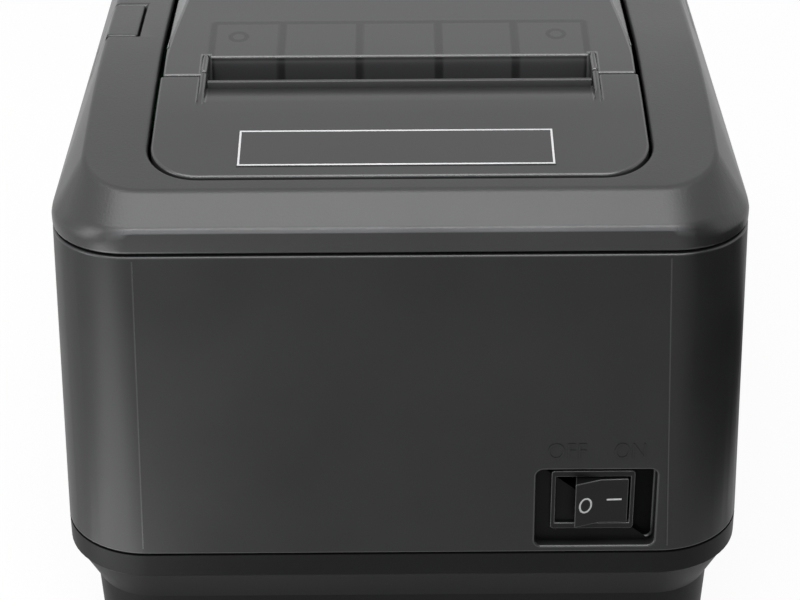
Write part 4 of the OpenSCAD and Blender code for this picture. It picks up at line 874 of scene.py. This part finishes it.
def raised_text(name, text, box, rise, matrix):
    """Raised letters that fill box (left, low, right, high) on the matrix's plane."""
    curve = bpy.data.curves.new(name, "FONT")
    curve.body = text
    curve.size = 1.0
    curve.extrude = 0.1
    curve.offset = -0.008
    curve.resolution_u = 6
    obj = bpy.data.objects.new(name, curve)
    bpy.context.scene.collection.objects.link(obj)
    bpy.context.view_layer.update()
    mesh = bpy.data.meshes.new_from_object(obj.evaluated_get(bpy.context.evaluated_depsgraph_get()))
    bpy.data.objects.remove(obj)
    bm = bmesh.new()
    bm.from_mesh(mesh)
    bmesh.ops.remove_doubles(bm, verts=bm.verts, dist=0.0005)
    xs = [v.co.x for v in bm.verts]
    ys = [v.co.y for v in bm.verts]
    left, low, right, high = box
    for vert in bm.verts:
        vert.co.x = left + (vert.co.x - min(xs)) / (max(xs) - min(xs)) * (right - left)
        vert.co.y = low + (vert.co.y - min(ys)) / (max(ys) - min(ys)) * (high - low)
        vert.co.z = rise if vert.co.z > 0 else -RAISED_SINK * MM
        vert.co = matrix @ vert.co
    return add_mesh(name, bm)


def hand_on(obj, node, finish):
    """Makes an added piece ride with a node, in a finish."""
    paint(obj, finish)
    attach(obj, body_of(node))


def surface_plane(node, start, direction, up):
    """Matrix on the first surface of a node that a ray meets: Y along up, Z outwards."""
    tree = BVHTree.FromPolygons([v.co[:] for v in NODES[node].data.vertices],
                                [p.vertices[:] for p in NODES[node].data.polygons])
    hit, normal, _, _ = tree.ray_cast(Vector(start), Vector(direction))
    if hit is None:
        raise RuntimeError("no surface of " + node + " at the mark")
    out = normal if normal.dot(Vector(direction)) < 0 else -normal
    side = Vector(up).cross(out).normalized()
    rows = Matrix((side, out.cross(side), out)).transposed().to_4x4()
    return Matrix.Translation(hit) @ rows


def rocker_plane(place):
    """Matrix on the rocker's face at a place across and up."""
    across, up = place
    return surface_plane("rocker", (across * MM, SEARCH_FRONT, up * MM), (0, 1, 0), (0, 0, 1))


def top_plane(node, x, y):
    """Matrix on the top of a node at a place."""
    return surface_plane(node, (x, y, SEARCH_HEIGHT), (0, 0, -1), (0, 1, 0))


def oval(width, height, count=40):
    """Points of an oval, counter-clockwise."""
    turns = [math.tau * i / count for i in range(count)]
    return [(width / 2 * math.cos(a), height / 2 * math.sin(a)) for a in turns]


def box_points(left, low, right, high):
    """Corners of a rectangle, counter-clockwise."""
    return [(left, low), (right, low), (right, high), (left, high)]


class PRINTER_OT_tear_lip(bpy.types.Operator):
    """Adds the upright tear lip along the front of the paper slot"""

    bl_idname = "printer.tear_lip"
    bl_label = "Tear lip"

    def execute(self, context):
        s = context.scene.printer_shell
        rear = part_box("main_housing")[0][1] + s.lip_place
        foot = top_plane("cutter_cover", 0, rear - LIP_PROBE * MM).translation.z - LIP_SINK * MM
        half, top, curve = s.lip_thick / 2, foot + LIP_SINK * MM + s.lip_height, LIP_CURVE * MM
        shoulder, cut = top - curve, 0.3 * curve
        profile = [(-half, foot), (half, foot), (half, shoulder), (half - cut, top - cut),
                   (half - curve, top), (curve - half, top), (cut - half, top - cut), (-half, shoulder)]
        turn = Matrix(((0, 0, 1, 0), (1, 0, 0, rear - half), (0, 1, 0, 0), (0, 0, 0, 1)))
        bm = bmesh.new()
        prism(bm, profile, -s.lip_half_w, s.lip_half_w, turn)
        hand_on(add_mesh("tear_lip", bm, 50.0), "cutter_cover", "cover")
        return {"FINISHED"}


def add_letters(s, plane):
    """Raised words over the switch."""
    low = LETTER_FOOT * MM
    for name, text, left, right in LETTERING:
        box = (left * MM, low, right * MM, low + s.letter_h)
        hand_on(raised_text(name, text, box, s.letter_rise, plane), "main_housing", "housing")


def add_rocker_marks(s):
    """Ring for off and bar for on, printed on the rocker."""
    bm = bmesh.new()
    rim, hole = oval(s.ring_w, s.ring_h), oval(s.ring_w - 2 * s.stroke, s.ring_h - 2 * s.stroke)
    ring_prism(bm, rim, hole, -PRINT_SINK * MM, s.print_rise, rocker_plane(RING_PLACE))
    bar = box_points(-s.bar / 2, -s.stroke / 2, s.bar / 2, s.stroke / 2)
    prism(bm, bar, -PRINT_SINK * MM, s.print_rise, rocker_plane(BAR_PLACE))
    hand_on(add_mesh("rocker_marks", bm), "rocker", "mark")


def add_label_border(s):
    """Printed border round the label on the cover."""
    bm = bmesh.new()
    low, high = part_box("cover_label")
    x, y = (low[0] + high[0]) / 2, (low[1] + high[1]) / 2
    spot = top_plane("cover_label", x, y)
    spot.translation = Vector((x, y, spot.translation.z))
    half_w = (high[0] - low[0]) / 2 - LABEL_MARGIN[0] * MM
    half_d = math.hypot(high[1] - low[1], high[2] - low[2]) / 2 - LABEL_MARGIN[1] * MM
    inner_w, inner_d = half_w - s.border, half_d - s.border
    ring_prism(bm, box_points(-half_w, -half_d, half_w, half_d),
               box_points(-inner_w, -inner_d, inner_w, inner_d), -PRINT_SINK * MM, s.print_rise, spot)
    hand_on(add_mesh("label_border", bm), "cover_label", "ink")


def add_front_lines(s, plane):
    """Fine upright lines at the left and right of the front, in a lighter finish that is a painted
    highlight.
    """
    bm = bmesh.new()
    half = s.panel_line / 2
    low, high = (end * MM for end in PANEL_LINE_REACH)
    for top_x, foot_x in PANEL_LINES:
        foot, top = foot_x * MM, top_x * MM
        points = [(foot - half, low), (foot + half, low), (top + half, high), (top - half, high)]
        prism(bm, points, -RAISED_SINK * MM, PANEL_LINE_RISE * MM, plane)
    hand_on(add_mesh("front_lines", bm), "main_housing", "line")


class PRINTER_OT_marks(bpy.types.Operator):
    """Adds the switch letters, the rocker's marks, the label's border and the front's lines"""

    bl_idname = "printer.marks"
    bl_label = "Marks"

    def execute(self, context):
        s = context.scene.printer_mark
        plane = front_plane()
        add_letters(s, plane)
        add_rocker_marks(s)
        add_label_border(s)
        add_front_lines(s, plane)
        return {"FINISHED"}


def contact_row(name, start, count):
    """Row of thin contacts made with Geometry Nodes and turned into a plain mesh."""
    tree = bpy.data.node_groups.new(name, "GeometryNodeTree")
    face = tree.interface
    face.new_socket("Geometry", in_out="INPUT", socket_type="NodeSocketGeometry")
    width, length, thickness = CONTACT_SIZE
    sizes = {
        "Count": ("NodeSocketInt", count),
        "Pitch": ("NodeSocketFloat", CONTACT_PITCH * MM),
        "Width": ("NodeSocketFloat", width * MM),
        "Length": ("NodeSocketFloat", length * MM),
        "Thickness": ("NodeSocketFloat", thickness * MM),
        "Slope": ("NodeSocketFloat", math.radians(CONTACT_SLOPE)),
    }
    for label, (kind, _) in sizes.items():
        face.new_socket(label, in_out="INPUT", socket_type=kind)
    face.new_socket("Material", in_out="INPUT", socket_type="NodeSocketMaterial")
    face.new_socket("Geometry", in_out="OUTPUT", socket_type="NodeSocketGeometry")
    add, link = tree.nodes.new, tree.links.new
    given, out = add("NodeGroupInput").outputs, add("NodeGroupOutput")
    step = add("ShaderNodeCombineXYZ")
    link(given["Pitch"], step.inputs["X"])
    line = add("GeometryNodeMeshLine")
    line.mode = "OFFSET"
    line.inputs["Start Location"].default_value = start
    link(given["Count"], line.inputs["Count"])
    link(step.outputs[0], line.inputs["Offset"])
    size = add("ShaderNodeCombineXYZ")
    for label, axis in (("Width", "X"), ("Length", "Y"), ("Thickness", "Z")):
        link(given[label], size.inputs[axis])
    bar = add("GeometryNodeMeshCube")
    link(size.outputs[0], bar.inputs["Size"])
    turn = add("ShaderNodeCombineXYZ")
    link(given["Slope"], turn.inputs["X"])
    place = add("GeometryNodeInstanceOnPoints")
    link(line.outputs["Mesh"], place.inputs["Points"])
    link(bar.outputs["Mesh"], place.inputs["Instance"])
    link(turn.outputs[0], place.inputs["Rotation"])
    real = add("GeometryNodeRealizeInstances")
    link(place.outputs["Instances"], real.inputs["Geometry"])
    finish = add("GeometryNodeSetMaterial")
    link(real.outputs["Geometry"], finish.inputs["Geometry"])
    link(given["Material"], finish.inputs["Material"])
    link(finish.outputs["Geometry"], out.inputs["Geometry"])
    obj = add_mesh(name, bmesh.new())
    mod = obj.modifiers.new("contacts", "NODES")
    mod.node_group = tree
    ids = {item.name: item.identifier for item in face.items_tree if item.in_out == "INPUT"}
    for label, (_, value) in sizes.items():
        mod[ids[label]] = value
    mod[ids["Material"]] = FINISH["gold"]
    bake_modifiers(obj, 30.0)
    return obj


class PRINTER_OT_contacts(bpy.types.Operator):
    """Adds the rows of spring contacts in the network and drawer sockets"""

    bl_idname = "printer.contacts"
    bl_label = "Socket contacts"

    def execute(self, context):
        behind, over = CONTACT_PLACE
        for node, count in CONTACT_ROWS:
            low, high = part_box(node)
            first = (low[0] + high[0]) / 2 - (count - 1) / 2 * CONTACT_PITCH * MM
            start = Vector((first, high[1] - behind * MM, low[2] + over * MM))
            hand_on(contact_row(node + "_contacts", start, count), node, "gold")
        return {"FINISHED"}


class PRINTER_PT_panel(bpy.types.Panel):
    """Lists the printer's settings and the buttons of its steps"""

    bl_idname = "PRINTER_PT_panel"
    bl_label = "Receipt printer"
    bl_space_type = "VIEW_3D"
    bl_region_type = "UI"
    bl_category = "Printer"

    def draw(self, context):
        for group in SETTINGS:
            box = self.layout.box()
            settings = getattr(context.scene, group)
            for name in settings.bl_rna.properties.keys():
                if name not in ("rna_type", "name"):
                    box.prop(settings, name)
        for cls in OPERATORS:
            self.layout.operator(cls.bl_idname)


OPERATORS = (
    PRINTER_OT_stage, PRINTER_OT_finishes, PRINTER_OT_case, PRINTER_OT_lid, PRINTER_OT_buttons,
    PRINTER_OT_tear_lip, PRINTER_OT_marks, PRINTER_OT_contacts,
)
SETTINGS = {
    "printer_plastic": PlasticSettings,
    "printer_shell": ShellSettings,
    "printer_mark": MarkSettings,
    "printer_stage": StageSettings,
}


def register():
    for cls in tuple(SETTINGS.values()) + OPERATORS + (PRINTER_PT_panel,):
        bpy.utils.register_class(cls)
    for name, cls in SETTINGS.items():
        setattr(bpy.types.Scene, name, bpy.props.PointerProperty(type=cls))


def unregister():
    for name in SETTINGS:
        delattr(bpy.types.Scene, name)
    for cls in (PRINTER_PT_panel,) + OPERATORS[::-1] + tuple(SETTINGS.values())[::-1]:
        bpy.utils.unregister_class(cls)


def main():
    register()
    for cls in OPERATORS:
        group, name = cls.bl_idname.split(".")
        getattr(getattr(bpy.ops, group), name)()


if __name__ == "__main__":
    main()
